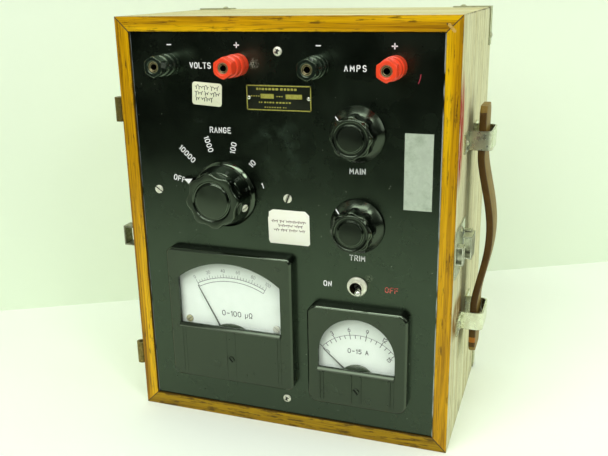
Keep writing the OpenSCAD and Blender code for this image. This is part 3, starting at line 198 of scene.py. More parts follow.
@dataclass(frozen=True)
class Finish:
    """A surface finish that becomes one material."""

    name: str

    def material(self) -> bpy.types.Material:
        """The material of this finish, made at its first use."""
        made = bpy.data.materials.get(self.name)
        if made is None:
            made = bpy.data.materials.new(self.name)
            made.use_nodes = True
            paint = Palette(made.node_tree)
            paint.add("OutputMaterial", {"Surface": self.shader(paint)})
        return made

    def shader(self, paint: Palette) -> Node:
        """Build the shader of this finish.

        Args:
            paint: The material's nodes.

        Returns:
            The shader node for the material's output.
        """
        raise NotImplementedError


@dataclass(frozen=True)
class VarnishedOak(Finish):
    """Plain-sawn oak: gold under varnish in front, paler on the other outward faces, partly sun-bleached wood
    and partly a painted reflection of the bright room.
    """

    grain: Grain = Grain.UPRIGHT
    pale: str = "#EABA08"
    gold: str = "#CE9A02"
    deep: str = "#946602"
    pore: str = "#36220A"
    # Pale colours of the outward faces other than the front: sun-bleached wood with the grazing reflection of
    # the bright room painted in
    dry_pale: str = "#E4E6C2"
    dry: str = "#D6D2A6"
    dry_deep: str = "#C0B686"
    coat: float = 0.15
    soil: float = 0.66
    middle: Place = (0.0, 0.0, 190.0)
    stains: tuple[tuple[Place, Place, str], ...] = (
        ((152.4, -84.0, 290.0), (6.0, 16.0, 52.0), "#A01810"),
        ((152.4, -62.0, 122.0), (6.0, 38.0, 22.0), "#7E5A14"))

    def shader(self, paint: Palette) -> Node:
        """Bands 7 mm wide and pores 0.8 mm wide, both drawn out forty times along the board."""
        run = paint.add("Mapping", {"Vector": paint.place, "Scale": self.grain.value})
        squeeze = [max(s, 0.12) for s in self.grain.value]
        short = paint.add("Mapping", {"Vector": paint.place, "Scale": squeeze})
        outer, away = self.weather(paint)
        bands = paint.noise(7, 5, 0.6, run, 0.7)
        fresh = paint.ramp(bands, (0.32, self.deep), (0.47, self.gold), (0.66, self.pale))
        # The outward faces other than the front take this pale ramp, which holds a painted reflection as well
        # as the bleaching
        bleached_with_painted_reflection = paint.ramp(bands, (0.3, self.dry_deep), (0.45, self.dry), (0.64, self.dry_pale))
        pores = paint.band(paint.noise(0.8, at=run), 0.54, 0.68, 0.0, paint.band(away, first=0.5, last=0.4))
        grime = paint.noise(22, 6, 0.7)
        arris, rim = paint.edges(1.5, 0.995, 0.85)
        # Dirt lies in flecks 2.6 mm wide and 20 mm long, which gather in places 22 mm apart
        heap = paint.maths("ADD", paint.noise(2.6, 4, 0.6, short), paint.band(grime, 0.35, 0.65, 0.0, 0.16))
        worn = paint.band(heap, self.soil, self.soil + 0.1, 0.0, paint.band(away, first=0.75, last=0.4))
        # It also sits in the joints and along the sharp edges; faces that look into the case, the lips round
        # the panel among them, are painted dark as shade
        lodged = paint.maths("MULTIPLY", rim, paint.band(grime, 0.42, 0.6))
        edged = paint.maths("MAXIMUM", paint.maths("MAXIMUM", pores, worn), lodged, use_clamp=True)
        dirt_and_shade = paint.maths("MAXIMUM", edged, paint.band(outer, first=0.85, last=0.0))
        tone = paint.mix(dirt_and_shade, paint.mix(away, fresh, bleached_with_painted_reflection), self.pore)
        relief = paint.bump(pores, 0.35, 0.15, Normal=arris)
        relief.invert = True
        return paint.add("BsdfPrincipled", {
            "Base Color": self.stained(paint, tone, paint.noise(4, 5, 0.65, short), away),
            "Roughness": paint.maths("MAXIMUM", paint.band(grime, 0.3, 0.7, 0.3, 0.5), away),
            "Normal": relief, "Specular IOR Level": 0.15, "Coat Roughness": 0.16, "Coat Normal": relief,
            "Coat Weight": paint.band(paint.maths("SUBTRACT", outer, away), last=self.coat)})

    def weather(self, paint: Palette) -> list[Node]:
        """Which faces look out of the case, and which of these saw the sun and carry the painted reflection.

        Args:
            paint: The material's nodes.

        Returns:
            The share of outward faces, and the share of outward faces other than the front.
        """
        middle = [c * MM for c in self.middle]
        from_middle = paint.add("VectorMath", {0: paint.place, 1: middle}, operation="SUBTRACT")
        outer = paint.band(paint.measure("DOT_PRODUCT", paint.normal(), from_middle), 0.0, 1 * MM)
        facing = paint.add("SeparateXYZ", {0: paint.normal()})
        return [outer, paint.maths("MULTIPLY", paint.band(facing.outputs[1], -0.8, -0.5), outer)]

    def stained(self, paint: Palette, tone: Setting, flakes: Setting, away: Setting) -> Setting:
        """Spill red lacquer by the upper strap loop, and leave old varnish by the lower one.

        Args:
            paint: The material's nodes.
            tone: Colour under the stains.
            flakes: Pattern in which they have flaked.
            away: Share of the faces that can be stained.

        Returns:
            The colour with the stains.
        """
        left = paint.band(flakes, 0.36, 0.5, 0.0, 0.95)
        for spot, size, colour in self.stains:
            near = paint.add("Mapping", {
                "Vector": paint.place, "Location": [c * MM for c in spot], "Scale": [c * MM for c in size]},
                vector_type="TEXTURE")
            spilt = paint.band(paint.measure("LENGTH", near), 1.0, 0.6)
            share = paint.maths("MULTIPLY", paint.maths("MULTIPLY", spilt, away), left)
            tone = paint.mix(share, tone, colour)
        return tone


@dataclass(frozen=True)
class Metal(Finish):
    """Turned, pressed or plated metal with spots of tarnish; oxide leaves less of it bare."""

    colour: str
    tarnish: str
    roughness: float = 0.3
    spot: float = 4.0
    share: float = 0.7
    bare: float = 1.0
    # Share of dirt on the rims, and of painted shade in the hollows
    grime: float = 0.0

    def shader(self, paint: Palette) -> Node:
        """Spots of tarnish dull the metal, and tool marks 0.4 mm apart break up its shine."""
        film = paint.noise(self.spot, 4, 0.65)
        tone = paint.mix(paint.band(film, 0.45, 0.72, 0.0, self.share), self.colour, self.tarnish)
        if self.grime:
            # Dirt darkens the rims, and ambient occlusion paints shade into the hollows and crevices
            _, rim = paint.edges(0.9, 0.99, 0.8, self.grime)
            hollow_shade = paint.add("AmbientOcclusion", {"Distance": 8 * MM}, samples=8).outputs["AO"]
            dirt_and_shade = paint.maths("MAXIMUM", rim, paint.band(hollow_shade, 0.5, 0.2, 0.0, self.grime))
            tone = paint.mix(dirt_and_shade, tone, "#1E1C0E")
        matt = paint.band(film, 0.3, 0.75, self.roughness * 0.8, min(1.0, self.roughness * 1.6))
        return paint.add("BsdfPrincipled", {
            "Base Color": tone, "Metallic": self.bare, "Roughness": matt,
            "Normal": paint.bump(paint.noise(0.4), 0.12, 0.05)})


@dataclass(frozen=True)
class Moulding(Finish):
    """Moulded plastic with a pressed skin: even colour, faint flow clouds, dust where it faces up."""

    colour: str
    cloud: str
    dust: str = "#5C6456"
    roughness: float = 0.22
    haze: float = 0.25
    rounding: float = 0.4
    sheen: str = "#DCF5D0"
    shine: float = 0.5

    def shader(self, paint: Palette) -> Node:
        """Flow clouds 15 mm wide, and dust grains drawn 0.5 mm wide so that they show."""
        flow = paint.noise(15, 4)
        grains = paint.noise(0.5, 3, 0.7)
        facing = paint.add("SeparateXYZ", {0: paint.normal()})
        settled = paint.band(facing.outputs[2], 0.2, 1.0, 0.0, self.haze)
        tone = paint.mix(
            paint.maths("MULTIPLY", settled, grains), paint.mix(flow, self.colour, self.cloud), self.dust)
        edge = paint.add("Bevel", {"Radius": self.rounding * MM}, samples=4)
        return paint.add("BsdfPrincipled", {
            "Base Color": tone,
            "Roughness": paint.band(flow, 0.3, 0.7, self.roughness * 0.8, self.roughness * 1.3),
            "Normal": paint.bump(grains, 0.06, 0.05, Normal=edge), "IOR": 1.55, "Specular Tint": self.sheen,
            "Specular IOR Level": self.shine})


@dataclass(frozen=True)
class PanelSheet(Finish):
    """Black laminated phenolic sheet, polished: deep gloss with hand smears, dust specks and scuffs."""

    half_width: float = 139.3
    edge: float = 0.9
    scuffs: tuple[tuple[float, float, float, float, str], ...] = (
        (-21.8, 342.0, 5.5, 1.2, "#A8B09C"), (0.0, 270.0, 30.0, 14.0, "#2E3A30"),
        (79.6, 159.6, 4.5, 1.5, "#7C846C"))

    def shader(self, paint: Palette) -> Node:
        """Smears some 60 mm wide dull the gloss, and specks 0.4 mm wide lie about 30 mm apart."""
        smear = paint.noise(60, 5, 0.6)
        tone = paint.mix(paint.band(smear, 0.42, 0.75), "#020302", "#0A0D09")
        tone = paint.mix(paint.band(paint.cells(9), 0.025, 0.045, 0.8, 0.0), tone, "#A4AC98")
        spot = paint.add("SeparateXYZ", {0: paint.place})
        flat = paint.add("CombineXYZ", {0: spot.outputs[0], 2: spot.outputs[2]})
        for x, z, size, grain, colour in self.scuffs:
            reach = paint.measure("DISTANCE", flat, (x * MM, 0.0, z * MM))
            rub = paint.band(paint.noise(grain, 4, 0.65), 0.48, 0.66)
            share = paint.maths("MULTIPLY", paint.band(reach, size * MM, 0.3 * size * MM), rub)
            tone = paint.mix(share, tone, colour)
        # The sawn edges at the left and right show as broken pale lines, fainter on the left: the pale is the
        # bare edge, and the brighter right is a painted highlight
        off = paint.add("Math", {0: spot.outputs[0]}, operation="ABSOLUTE")
        inner = self.half_width - self.edge
        run = paint.add("Mapping", {"Vector": paint.place, "Scale": (1.0, 1.0, 0.2)})
        side = paint.band(spot.outputs[0], -0.1, 0.1, 0.3, 0.9)
        bare = paint.band(paint.noise(4, 4, at=run), 0.36, 0.5, 0.0, side)
        rim = paint.maths("MULTIPLY", paint.band(off, inner * MM, (inner + 0.1) * MM), bare)
        return paint.add("BsdfPrincipled", {
            "Base Color": paint.mix(rim, tone, "#B4BCBC"),
            "Roughness": paint.band(smear, 0.3, 0.7, 0.2, 0.33),
            "IOR": 1.6, "Specular IOR Level": 0.68, "Specular Tint": "#D4F5CC"})


@dataclass(frozen=True)
class StrapLeather(Finish):
    """Vegetable-tanned harness leather: close pores, rubbed paler where hands and loops bear."""

    colour: str
    rubbed: str

    def shader(self, paint: Palette) -> Node:
        """Pores 0.7 mm apart with creases between them, and rubbed patches 25 mm long."""
        pores = paint.cells(0.7)
        tone = paint.mix(paint.band(paint.noise(25, 6, 0.65), 0.4, 0.7), self.colour, self.rubbed)
        return paint.add("BsdfPrincipled", {
            "Base Color": paint.mix(paint.band(pores, 0.0, 0.5, 0.35, 0.0), tone, "#1E1206"),
            "Roughness": 0.55, "Normal": paint.bump(pores, 0.4, 0.1), "Specular IOR Level": 0.25})


@dataclass(frozen=True)
class Print(Finish):
    """Paint in engraved letters, or printed ink: matt and even, with chips that show what is under it."""

    colour: str
    under: str
    worn: float = 0.2

    def shader(self, paint: Palette) -> Node:
        """Chips about 0.9 mm wide, gathered in places some 12 mm apart."""
        chips = paint.maths("MULTIPLY", paint.noise(0.9, 3), paint.noise(12))
        limit = 0.42 - 0.2 * self.worn
        tone = paint.mix(paint.band(chips, limit - 0.06, limit + 0.03), self.colour, self.under)
        return paint.add("BsdfPrincipled", {"Base Color": tone, "Roughness": 0.55})


@dataclass(frozen=True)
class Sheet(Finish):
    """Matt paper or enamelled card: even and pale, with faint clouds and brown spots of age."""

    colour: str
    cloud: str
    spots: str
    roughness: float = 0.7
    age: float = 0.5

    def shader(self, paint: Palette) -> Node:
        """Clouds 8 mm wide and spots of age about 1.5 mm wide."""
        spot = paint.noise(1.5, 4, 0.6)
        pale = paint.mix(paint.noise(8, 5), self.colour, self.cloud)
        return paint.add("BsdfPrincipled", {
            "Base Color": paint.mix(paint.band(spot, 0.62, 0.78, 0.0, self.age), pale, self.spots),
            "Roughness": self.roughness, "Normal": paint.bump(spot, 0.1, 0.05)})


@dataclass(frozen=True)
class WindowGlass(Finish):
    """Drawn sheet glass: clear, with a soft film of dust."""

    def shader(self, paint: Palette) -> Node:
        """Glass for the eye, open for the light that falls on the dial."""
        matt = paint.band(paint.noise(20, 4), first=0.01, last=0.05)
        glass = paint.add("BsdfPrincipled", {
            "Base Color": "#FFFFFF", "Roughness": matt, "Transmission Weight": 1.0, "IOR": 1.5})
        shadow = paint.add("LightPath").outputs["Is Shadow Ray"]
        return paint.add("MixShader", {0: shadow, 1: glass, 2: paint.add("BsdfTransparent")})


@dataclass(frozen=True)
class WoundWire(Finish):
    """Resistance wire wound close on a former: fine bright turns with dark lines between them."""

    colour: str
    gap: str
    pitch: float = 0.8

    def shader(self, paint: Palette) -> Node:
        """One turn for each pitch along the axis that runs into the case."""
        turns = paint.add("TexWave", {
            "Vector": paint.place, "Scale": per(self.pitch) / 20, "Distortion": 0.4, "Detail": 1},
            bands_direction="Y")
        return paint.add("BsdfPrincipled", {
            "Base Color": paint.mix(turns, self.gap, self.colour), "Metallic": 0.7, "Roughness": 0.4,
            "Normal": paint.bump(turns, 0.6, 0.2)})


@dataclass(frozen=True)
class MattPaint(Finish):
    """Even matt paint on a sheet that is open when it is seen from behind."""

    colour: str

    def shader(self, paint: Palette) -> Node:
        """Paint on the front, nothing on the back."""
        behind = paint.add("NewGeometry").outputs["Backfacing"]
        matt = paint.add("BsdfDiffuse", {"Color": self.colour})
        return paint.add("MixShader", {0: behind, 1: matt, 2: paint.add("BsdfTransparent")})


FRONT_OAK = VarnishedOak("varnished_oak_upright")
CROSS_OAK = VarnishedOak(
    "varnished_oak_across", grain=Grain.ACROSS, dry_pale="#D6D6AC", dry="#C4BE8C", dry_deep="#B0A470")
# The bottom board is darker than the other boards
LOW_OAK = VarnishedOak(
    "darker_oak_across", grain=Grain.ACROSS, pale="#B08C0A", gold="#947204", deep="#5E4200",
    coat=0.1, soil=0.6)
BACK_PLY = VarnishedOak(
    "oiled_birch_ply", dry_pale="#C7AA6E", dry="#B3925A", dry_deep="#8F6D3C", pore="#5A4020",
    coat=0.1, soil=0.74)
DULL_NICKEL = Metal(
    "dull_nickel_plate_on_steel", "#C8CAA8", "#8C8860", roughness=0.38, spot=6.0, grime=0.8)
LOOP_NICKEL = Metal(
    "worn_nickel_plate", "#E0E4C8", "#9C9870", roughness=0.24, spot=7.0, share=0.45, bare=0.95, grime=0.8)
CATCH_NICKEL = Metal(
    "satin_nickel_plate", "#E8ECD6", "#B4B894", roughness=0.3, spot=5.0, share=0.6, grime=1.0)
STAY_STEEL = Metal("tarnished_loop_steel", "#9A9A82", "#46442F", roughness=0.4, spot=4.0, grime=1.0)
HINGE_STEEL = Metal("browned_hinge_steel", "#8C7C48", "#46381C", roughness=0.4, spot=5.0)
SCREW_NICKEL = Metal(
    "rubbed_nickel_plate", "#F2F4E0", "#C8C8A8", roughness=0.4, spot=3.0, share=0.5, bare=0.45)
ZINC_PLATE = Metal("dulled_zinc_plate", "#CED4C0", "#A8AA88", roughness=0.55, spot=2.0, bare=0.2)
BRASS_SCREW = Metal("dulled_brass_screw", "#A8A878", "#80804C", roughness=0.55, spot=2.0, bare=0.2)
BRIGHT_NICKEL = Metal("bright_nickel_plate", "#E4E8DA", "#B4B298", roughness=0.26, spot=3.0, share=0.5)
DARK_BRASS = Metal("oxidised_brass", "#2A2416", "#15120C", roughness=0.5, spot=2.0)
LIP_BRASS = Metal("worn_brass_lip", "#D8CFA0", "#A09058", roughness=0.35, spot=2.0, share=0.5)
TURNED_BRASS = Metal("turned_brass", "#C9A64E", "#8A6A2C", roughness=0.25, spot=3.0)
MAGNET_STEEL = Metal("cast_magnet_alloy", "#8C8E8A", "#5F605C", roughness=0.5, spot=2.0)
TAG_METAL = Metal("satin_aluminium_sheet", "#D4DECE", "#BAC4B4", roughness=0.6, spot=10.0, share=0.5)
ZINC_CELL = Metal("drawn_zinc_can", "#A8ADA8", "#7C807A", roughness=0.45, spot=8.0)
PLATE_BRASS = Metal("etched_brass_plate", "#CCC868", "#9A9640", roughness=0.5, spot=3.0)
PANEL = PanelSheet("polished_black_laminate")
BLACK_PHENOLIC = Moulding(
    "moulded_black_phenolic", "#020302", "#050705", roughness=0.1, haze=0.03, shine=1.0)
RUBBED_PHENOLIC = Moulding(
    "rubbed_black_phenolic", "#11160F", "#1B2218", roughness=0.34, haze=0.1, shine=0.8)
COVER_PHENOLIC = Moulding(
    "satin_black_phenolic", "#060806", "#0C100B", roughness=0.22, haze=0.03, shine=0.76)
LEDGE_PHENOLIC = Moulding(
    "polished_black_phenolic", "#050705", "#090C08", roughness=0.1, haze=0.02, shine=1.0)
KNOB_FACE = Moulding(
    "brushed_black_phenolic", "#040504", "#080B07", roughness=0.38, haze=0.02, shine=0.5)
# The lug is black phenolic painted green-grey: a painted reflection of the pale floor
LUG_REFLECTION_PAINT = Moulding(
    "phenolic_with_painted_floor_reflection", "#36422F", "#3E4A38", roughness=0.5, haze=0.0, shine=0.4)
RED_PLASTIC = Moulding(
    "moulded_red_polystyrene", "#FC5230", "#F24626", dust="#F0A090", roughness=0.16, haze=0.05,
    sheen="#FFFFFF")
# Black plastic lifted to a dark green-grey: its own black with a painted reflection of the pale floor
BLACK_POST = Moulding(
    "black_polystyrene_with_painted_reflection", "#141B15", "#1C241D", roughness=0.12, haze=0.03, shine=1.0, rounding=0.7)
PHENOLIC_BOARD = Moulding("brown_phenolic_board", "#6B4A28", "#553818", roughness=0.4)
CERAMIC = Moulding("glazed_steatite", "#CFC8B4", "#BDB49C", dust="#8C8674", roughness=0.35)
CAN_PAINT = Moulding("black_crackle_lacquer", "#15171A", "#202326", roughness=0.5)
PLATE_BLACK = Moulding("etched_black_enamel", "#0C0D09", "#17160E", roughness=0.35)
LEAD_SLEEVE = Moulding("vinyl_lead_sleeve", "#7A1E1A", "#5E1512", roughness=0.45)
SPOOL_WIRE = WoundWire("wound_resistance_wire", "#B0793C", "#2A1A0C")
STRAP_FACE = StrapLeather("harness_leather", "#7C621E", "#947A34")
STRAP_RAW = StrapLeather("raw_leather_edge", "#B0701E", "#8C5010")
STRAP_EDGE = StrapLeather("burnished_leather_edge", "#4A3206", "#5E430C")
WHITE_FILL = Print("white_engraving_fill", "#FFFFFF", "#D0D4CC", worn=0.0)
RED_FILL = Print("red_engraving_fill", "#DC6C5C", "#7A2C24", worn=0.4)
PEN_RED = Print("red_wax_pencil", "#B03044", "#3A1018", worn=0.5)
BROWN_INK = Print("faded_stamp_ink", "#5C2010", "#7C5438", worn=0.2)
PEN_INK = Print("black_pen_ink", "#20241C", "#4C5044", worn=0.0)
DIAL_INK = Print("black_dial_ink", "#1A201A", "#4C544A", worn=0.1)
WOOD_FILLER = Print("wood_filler", "#D0A850", "#A88428", worn=0.4)
FAINT_INK = Print("thin_dial_ink", "#5C665C", "#98A296")
# Painted shade for screw slots, cross recesses and the nail hole, also used for the dark open joints
SLOT_SHADOW = Print("painted_shade_in_slots_holes_joints", "#14150F", "#24241A")
DIAL_CARD = Sheet("white_enamelled_dial", "#E6F1E4", "#DCE9DA", "#C8D2B8", roughness=0.5, age=0.25)
LABEL_PAPER = Sheet("aged_label_paper", "#F4F7DC", "#E8EBC8", "#C0B478", roughness=0.8)
FRESH_PAPER = Sheet("gummed_label_paper", "#FFFFF4", "#FAFCE6", "#D8D0A0", roughness=0.8, age=0.3)
NEEDLE = Moulding("black_needle_lacquer", "#2C322A", "#363C34", roughness=0.4)
GLASS = WindowGlass("window_glass")


def arc(cx: float, cy: float, rx: float, ry: float, start: float, stop: float, steps: int = 14) -> Outline:
    """Points along an arc of an ellipse.

    Args:
        cx: Centre, across.
        cy: Centre, up.
        rx: Half width.
        ry: Half height.
        start: First angle in degrees from the right, anticlockwise.
        stop: Last angle in degrees.
        steps: Pieces that the arc is cut into.

    Returns:
        The points, both ends included.
    """
    turns = [math.radians(start + (stop - start) * i / steps) for i in range(steps + 1)]
    return [(cx + rx * math.cos(a), cy + ry * math.sin(a)) for a in turns]


def ring(radius: float, count: int = 64) -> Outline:
    """Points round a circle."""
    return arc(0, 0, radius, radius, 0, 360 - 360 / count, count - 1)


def oblong(width: float, height: float, corner: float, steps: int = 6) -> Outline:
    """Rectangle about the origin with rounded corners, anticlockwise from its right side."""
    x, y = width / 2 - corner, height / 2 - corner
    corners = [(x, y, 0), (-x, y, 90), (-x, -y, 180), (x, -y, 270)]
    return [p for cx, cy, a in corners for p in arc(cx, cy, corner, corner, a, a + 90, steps)]


def scalloped(radius: float, depth: float, lobes: int, turn: float = 0.0, count: int = 144) -> Outline:
    """Round grip with hollows cut between its lobes.

    Args:
        radius: Reach of the lobes.
        depth: How deep the hollows are.
        lobes: Number of lobes.
        turn: Degrees from the right to the middle of a hollow.
        count: Points round the grip.

    Returns:
        The outline with softened crests.
    """
    cutter = radius * 0.62
    reach = radius + cutter - depth
    radii = []
    for i in range(count):
        off = math.radians((360 * i / count - turn + 180 / lobes) % (360 / lobes) - 180 / lobes)
        miss = cutter ** 2 - (reach * math.sin(off)) ** 2
        radii.append(min(radius, reach * math.cos(off) - math.sqrt(miss)) if miss > 0 else radius)
    for _ in range(2):
        radii = [(radii[i - 1] + 2 * radii[i] + radii[(i + 1) % count]) / 4 for i in range(count)]
    spread = [math.tau * i / count for i in range(count)]
    return [(r * math.cos(a), r * math.sin(a)) for r, a in zip(radii, spread)]


def hexagon(radius: float, limit: float, count: int = 72) -> Outline:
    """Hexagon by its corner radius, with the corners turned down to a limit."""
    flat = radius * math.cos(math.pi / 6)
    spread = [math.tau * i / count for i in range(count)]
    reach = [min(limit, flat / math.cos((a + math.pi / 6) % (math.pi / 3) - math.pi / 6)) for a in spread]
    return [(r * math.cos(a), r * math.sin(a)) for r, a in zip(reach, spread)]


def inset(outline: Outline, depth: float) -> Outline:
    """An anticlockwise outline moved inwards along its own normals."""
    moved = []
    for i, (x, y) in enumerate(outline):
        before, after = outline[i - 1], outline[(i + 1) % len(outline)]
        dx, dy = after[0] - before[0], after[1] - before[1]
        size = math.hypot(dx, dy) or 1.0
        moved.append((x - depth * dy / size, y + depth * dx / size))
    return moved


def rays(outline: Outline, centre: Point, angles: Sequence[float]) -> Outline:
    """Points where rays from a centre leave an outline.

    Args:
        outline: Closed outline round the centre.
        centre: Where the rays start.
        angles: Directions of the rays in radians.

    Returns:
        One point for each ray.
    """
    cx, cy = centre
    found = []
    for angle in angles:
        ux, uy = math.cos(angle), math.sin(angle)
        best = 0.0
        for (ax, ay), (bx, by) in zip(outline, outline[1:] + outline[:1]):
            ex, ey = bx - ax, by - ay
            cross = ux * ey - uy * ex
            if abs(cross) < 1e-9:
                continue
            along = ((ax - cx) * ey - (ay - cy) * ex) / cross
            share = ((ax - cx) * uy - (ay - cy) * ux) / cross
            if along > best and -1e-6 <= share <= 1 + 1e-6:
                best = along
        found.append((cx + best * ux, cy + best * uy))
    return found


def rounded(outline: Outline, low: float, high: float, low_r: float, high_r: float,
            steps: int = 4) -> list[Level]:
    """Levels of a block with rounded edges.

    Args:
        outline: Widest outline of the block.
        low: Height of its foot.
        high: Height of its top.
        low_r: Edge radius at the foot.
        high_r: Edge radius at the top.
        steps: Pieces that each edge is cut into.

    Returns:
        Outlines with their heights, from the foot up.
    """
    quarter = [math.pi / 2 * i / steps for i in range(steps + 1)]
    foot = [(inset(outline, low_r * (1 - math.sin(a))), low + low_r * (1 - math.cos(a))) for a in quarter]
    top = [(inset(outline, high_r * (1 - math.cos(a))), high - high_r * (1 - math.sin(a))) for a in quarter]
    return (foot if low_r else [(outline, low)]) + (top if high_r else [(outline, high)])


def on_panel(x: float, z: float, out: float = 0.0, turn: float = 0.0) -> Matrix:
    """Frame on the front panel: x to the right, y up and z out of it.

    Args:
        x: Place from the middle of the panel to the right.
        z: Height above the floor.
        out: Distance in front of the panel's face.
        turn: Degrees to turn anticlockwise.

    Returns:
        Matrix from this frame to the part's frame, in metres.
    """
    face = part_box("front_panel")[0][1]
    place = Matrix.Translation((x * MM, face - out * MM, z * MM))
    return place @ Matrix.Rotation(math.pi / 2, 4, "X") @ Matrix.Rotation(math.radians(turn), 4, "Z")


@dataclass
class Draft:
    """Points and faces of one piece, gathered in millimetres."""

    points: list[Vector] = field(default_factory=list)
    faces: list[list[int]] = field(default_factory=list)
    marks: list[int] = field(default_factory=list)
    mark: int = 0

    def face(self, corners: Sequence[int]) -> None:
        """Add a face with the finish in use."""
        self.faces.append(list(corners))
        self.marks.append(self.mark)

    def loop(self, points: Sequence[Vector]) -> list[int]:
        """Add points and give their numbers."""
        first = len(self.points)
        self.points += points
        return list(range(first, len(self.points)))

    def skin(self, loops: list[list[int]], round_trip: bool = False) -> None:
        """Join loops of equal length with faces.

        Args:
            loops: Loops of point numbers, anticlockwise when seen from the end.
            round_trip: Whether the last loop is joined to the first; if not, both are closed with a face.
        """
        for low, high in zip(loops, loops[1:] + loops[:1] if round_trip else loops[1:]):
            for i in range(len(low)):
                j = (i + 1) % len(low)
                self.face((low[i], low[j], high[j], high[i]))
        if not round_trip:
            self.face(loops[0][::-1])
            self.face(loops[-1])

    def stack(self, levels: Sequence[Level], round_trip: bool = False, centre: Point = (0.0, 0.0)) -> None:
        """Join outlines at their heights, as turned or moulded forms are."""
        cx, cy = centre
        loops = [self.loop([Vector((x + cx, y + cy, z)) for x, y in outline]) for outline, z in levels]
        self.skin(loops, round_trip)

    def slab(self, outline: Outline, low: float, high: float, centre: Point = (0.0, 0.0)) -> None:
        """Raise an outline from one height to another."""
        self.stack([(outline, low), (outline, high)], centre=centre)

    def lathe(self, profile: Sequence[Point], count: int = 64, round_trip: bool = False,
              centre: Point = (0.0, 0.0)) -> None:
        """Turn a profile of radius and height about the upright axis."""
        self.stack([(ring(r, count), z) for r, z in profile], round_trip, centre)

    def bar(self, profile: Outline, start: float, stop: float) -> None:
        """Run an upright profile, given as y and z, along x."""
        loops = [self.loop([Vector((x, y, z)) for y, z in profile]) for x in (start, stop)]
        self.skin(loops)

    def stroke(self, path: Sequence[Point], width: float, base: float = 0.0,
               rise: float = LETTER_RISE) -> None:
        """Draw a line of even width with round ends, cut where it turns a corner.

        Args:
            path: Points along the line; a path that ends where it starts is closed.
            width: Width of the line.
            base: Height of the surface that it is drawn on.
            rise: How far its face stands off that surface.
        """
        runs = [[path[0]]]
        for i in range(1, len(path)):
            runs[-1].append(path[i])
            if i + 1 < len(path):
                a = Vector(path[i]) - Vector(path[i - 1])
                b = Vector(path[i + 1]) - Vector(path[i])
                if a.length and b.length and a.angle(b) > math.radians(28):
                    runs.append([path[i]])
        for run in runs:
            self.line(run, width / 2, base - SINK, base + rise)

    def line(self, run: Sequence[Point], half: float, low: float, high: float) -> None:
        """Draw one smooth line with round ends, or a closed band."""
        closed = len(run) > 3 and math.dist(run[0], run[-1]) < 1e-3
        knots = [Vector(p) for p in (run[:-1] if closed else run)]
        sides: list[tuple[Vector, Vector]] = []
        for i, knot in enumerate(knots):
            before = knots[i - 1] if closed or i else knot
            after = knots[(i + 1) % len(knots)] if closed or i + 1 < len(knots) else knot
            way = (after - before).normalized()
            across = Vector((-way.y, way.x)) * half
            sides.append((knot - across, knot + across))
        if closed:
            right, left = ([side[k] for side in sides] for k in (0, 1))
            rims = [self.loop([Vector((*p, z)) for p in rim])
                    for rim, z in ((left, low), (right, low), (right, high), (left, high))]
            self.skin(rims, round_trip=True)
            return
        border = [s[0] for s in sides] + self.cap(knots[-1], knots[-2], half)
        border += [s[1] for s in reversed(sides)] + self.cap(knots[0], knots[1], half)
        self.skin([self.loop([Vector((*p, z)) for p in border]) for z in (low, high)])

    @staticmethod
    def cap(tip: Vector, inner: Vector, half: float) -> list[Vector]:
        """Points of a round end, from the right of the line to its left."""
        heading = (tip - inner).normalized()
        angle = math.atan2(heading.y, heading.x)
        turns = [angle - math.pi / 2 + math.pi * i / 6 for i in range(1, 6)]
        return [tip + Vector((math.cos(a), math.sin(a))) * half for a in turns]

    def paint(self, mark: int, test: Callable[[Vector], bool]) -> None:
        """Give the finish of a mark to the faces whose middle passes a test."""
        for i, corners in enumerate(self.faces):
            if test(sum((self.points[c] for c in corners), Vector((0, 0, 0))) / len(corners)):
                self.marks[i] = mark

    def place(self, name: str, frame_at: Matrix, finishes: Sequence[Finish], slot: str, body: str = CASE,
              replaces: Sequence[str] = (), sharp: float = 32.0) -> None:
        """Make the piece and set it on its body.

        Args:
            name: Name of the piece.
            frame_at: Frame that the points are given in.
            finishes: Finishes, in the order of the marks.
            slot: Material slot of the record; not used.
            body: Body that carries the piece.
            replaces: CAD nodes that the piece stands for.
            sharp: Edges that turn by more degrees than this stay crisp.
        """
        mesh = bpy.data.meshes.new(name)
        mesh.from_pydata([frame_at @ (p * MM) for p in self.points], [], self.faces)
        for finish in finishes:
            mesh.materials.append(finish.material())
        mesh.polygons.foreach_set("material_index", self.marks)
        mesh.polygons.foreach_set("use_smooth", [len(corners) < 5 for corners in self.faces])
        mesh.set_sharp_from_angle(angle=math.radians(sharp))
        mesh.update()
        piece = bpy.data.objects.new(name, mesh)
        bpy.context.scene.collection.objects.link(piece)
        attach(piece, body)
        if replaces:
            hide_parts(*replaces)
        LOG.info("%s rides on %s with %d faces", name, body, len(self.faces))


def dress(finish: Finish, *nodes: str) -> None:
    """Give CAD nodes a finish."""
    for name in nodes:
        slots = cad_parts[name].data.materials
        slots.clear()
        slots.append(finish.material())
        LOG.info("%s is finished in %s", name, finish.name)


